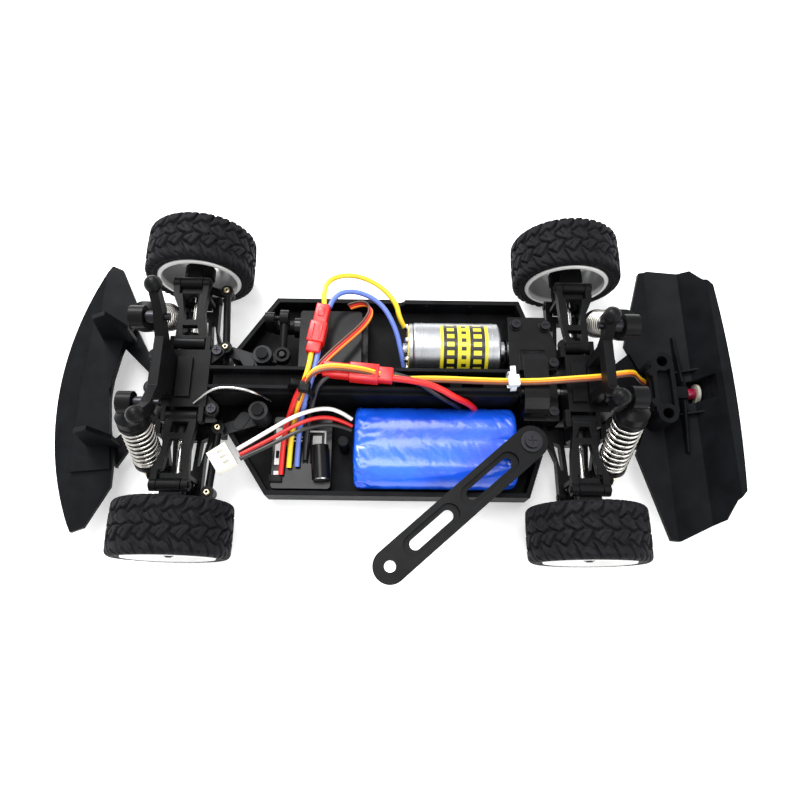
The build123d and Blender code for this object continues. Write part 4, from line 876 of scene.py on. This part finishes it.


# --- brass shock nuts and tie-rod pins -------------------------------------------------------
def make_studs():
    for name, end, side in CORNERS:
        top, foot, along, length = shock_line(end, side)
        lathe(f"{name}_shock_nut", [(0.01, 0), (1.9, 0), (1.9, 1.1), (1.3, 1.5), (0.01, 1.5)],
              foot + Vector((end * 2.5, 0, 0)), (end, 0, 0), BRASS, f"{name}_shock_rod", 6)
    for side, word in ((1, "left"), (-1, "right")):
        for i, (x, y) in enumerate(((68.2, side * 18.1), (70.0, side * 45.2))):
            lathe(f"{word}_tie_rod_pin_{i}", [(0.5, -0.4), (1.35, -0.4), (1.35, 0.3), (1.0, 0.7), (0.6, 0.7)],
                  (x, y, 18.5), (0, 0, 1), BRASS, f"{word}_tie_rod", 20)


make_studs()


# --- finishes of the carried-over nodes --------------------------------------------------------
def finish_nodes():
    looks = {"chassis_tub": TUB, "centre_spine": TUB, "front_bumper": SHELL, "rear_bumper": SHELL,
             "gear_cover": GLOSS, "motor": CAN, "servo": GLOSS, "speed_controller": GLOSS,
             "screws_and_pins": SCREW, "drag_link": PARTS, "centre_shaft": STEEL, "motor_pinion": BRASS,
             "left_bell_crank": LEVER, "right_bell_crank": LEVER}
    for name, end, side in CORNERS:
        top, foot, along, length = shock_line(end, side)
        looks[f"{name}_drive_shaft"] = STEEL
        looks[f"{name}_shock_rod"] = rod_and_cup(f"{name}_rod_finish", top, along, 1.2)
    for name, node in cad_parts.items():
        node.data.materials.clear()
        node.data.materials.append(looks.get(name, PARTS))


finish_nodes()


# --- floor, light ------------------------------------------------------------------------------
FLOOR_GLOW = 0.35
# name, place in metres, width in metres, watts
LIGHTS = [("key", (0.30, -0.62, 0.62), 0.35, 10.0), ("fill", (-0.55, 0.5, 0.7), 0.7, 4.0),
          ("top", (0.1, -0.2, 1.1), 0.5, 6.0)]


def make_stage():
    size, depth = 1.6, FLOOR_Z - 0.3
    floor_piece = piece("floor", [(-size * 1000, -size * 1000, depth), (size * 1000, -size * 1000, depth),
                                  (size * 1000, size * 1000, depth), (-size * 1000, size * 1000, depth)],
                        [(0, 1, 2, 3)], plastic("pale_floor", (0.86, 0.86, 0.86), 0.75, grain=0.02,
                                                spread=0.01,
                                                edge=0.0), None, smooth=False)
    glow = floor_piece.data.materials[0].node_tree.nodes["Principled BSDF"].inputs
    glow["Emission Color"].default_value = (1, 1, 1, 1)
    glow["Emission Strength"].default_value = FLOOR_GLOW
    world = bpy.data.worlds.new("studio")
    bpy.context.scene.world = world
    world.use_nodes = True
    world.node_tree.nodes["Background"].inputs["Color"].default_value = (1, 1, 1, 1)
    world.node_tree.nodes["Background"].inputs["Strength"].default_value = 1.0
    for name, place, size, power in LIGHTS:
        data = bpy.data.lights.new(name, "AREA")
        data.size, data.energy = size, power
        light = bpy.data.objects.new(name, data)
        bpy.context.scene.collection.objects.link(light)
        light.location = place
        light.rotation_euler = (-Vector(place)).to_track_quat("-Z", "Y").to_euler()
    bpy.context.scene.view_settings.view_transform = "Standard"


make_stage()

bpy.context.view_layer.update()
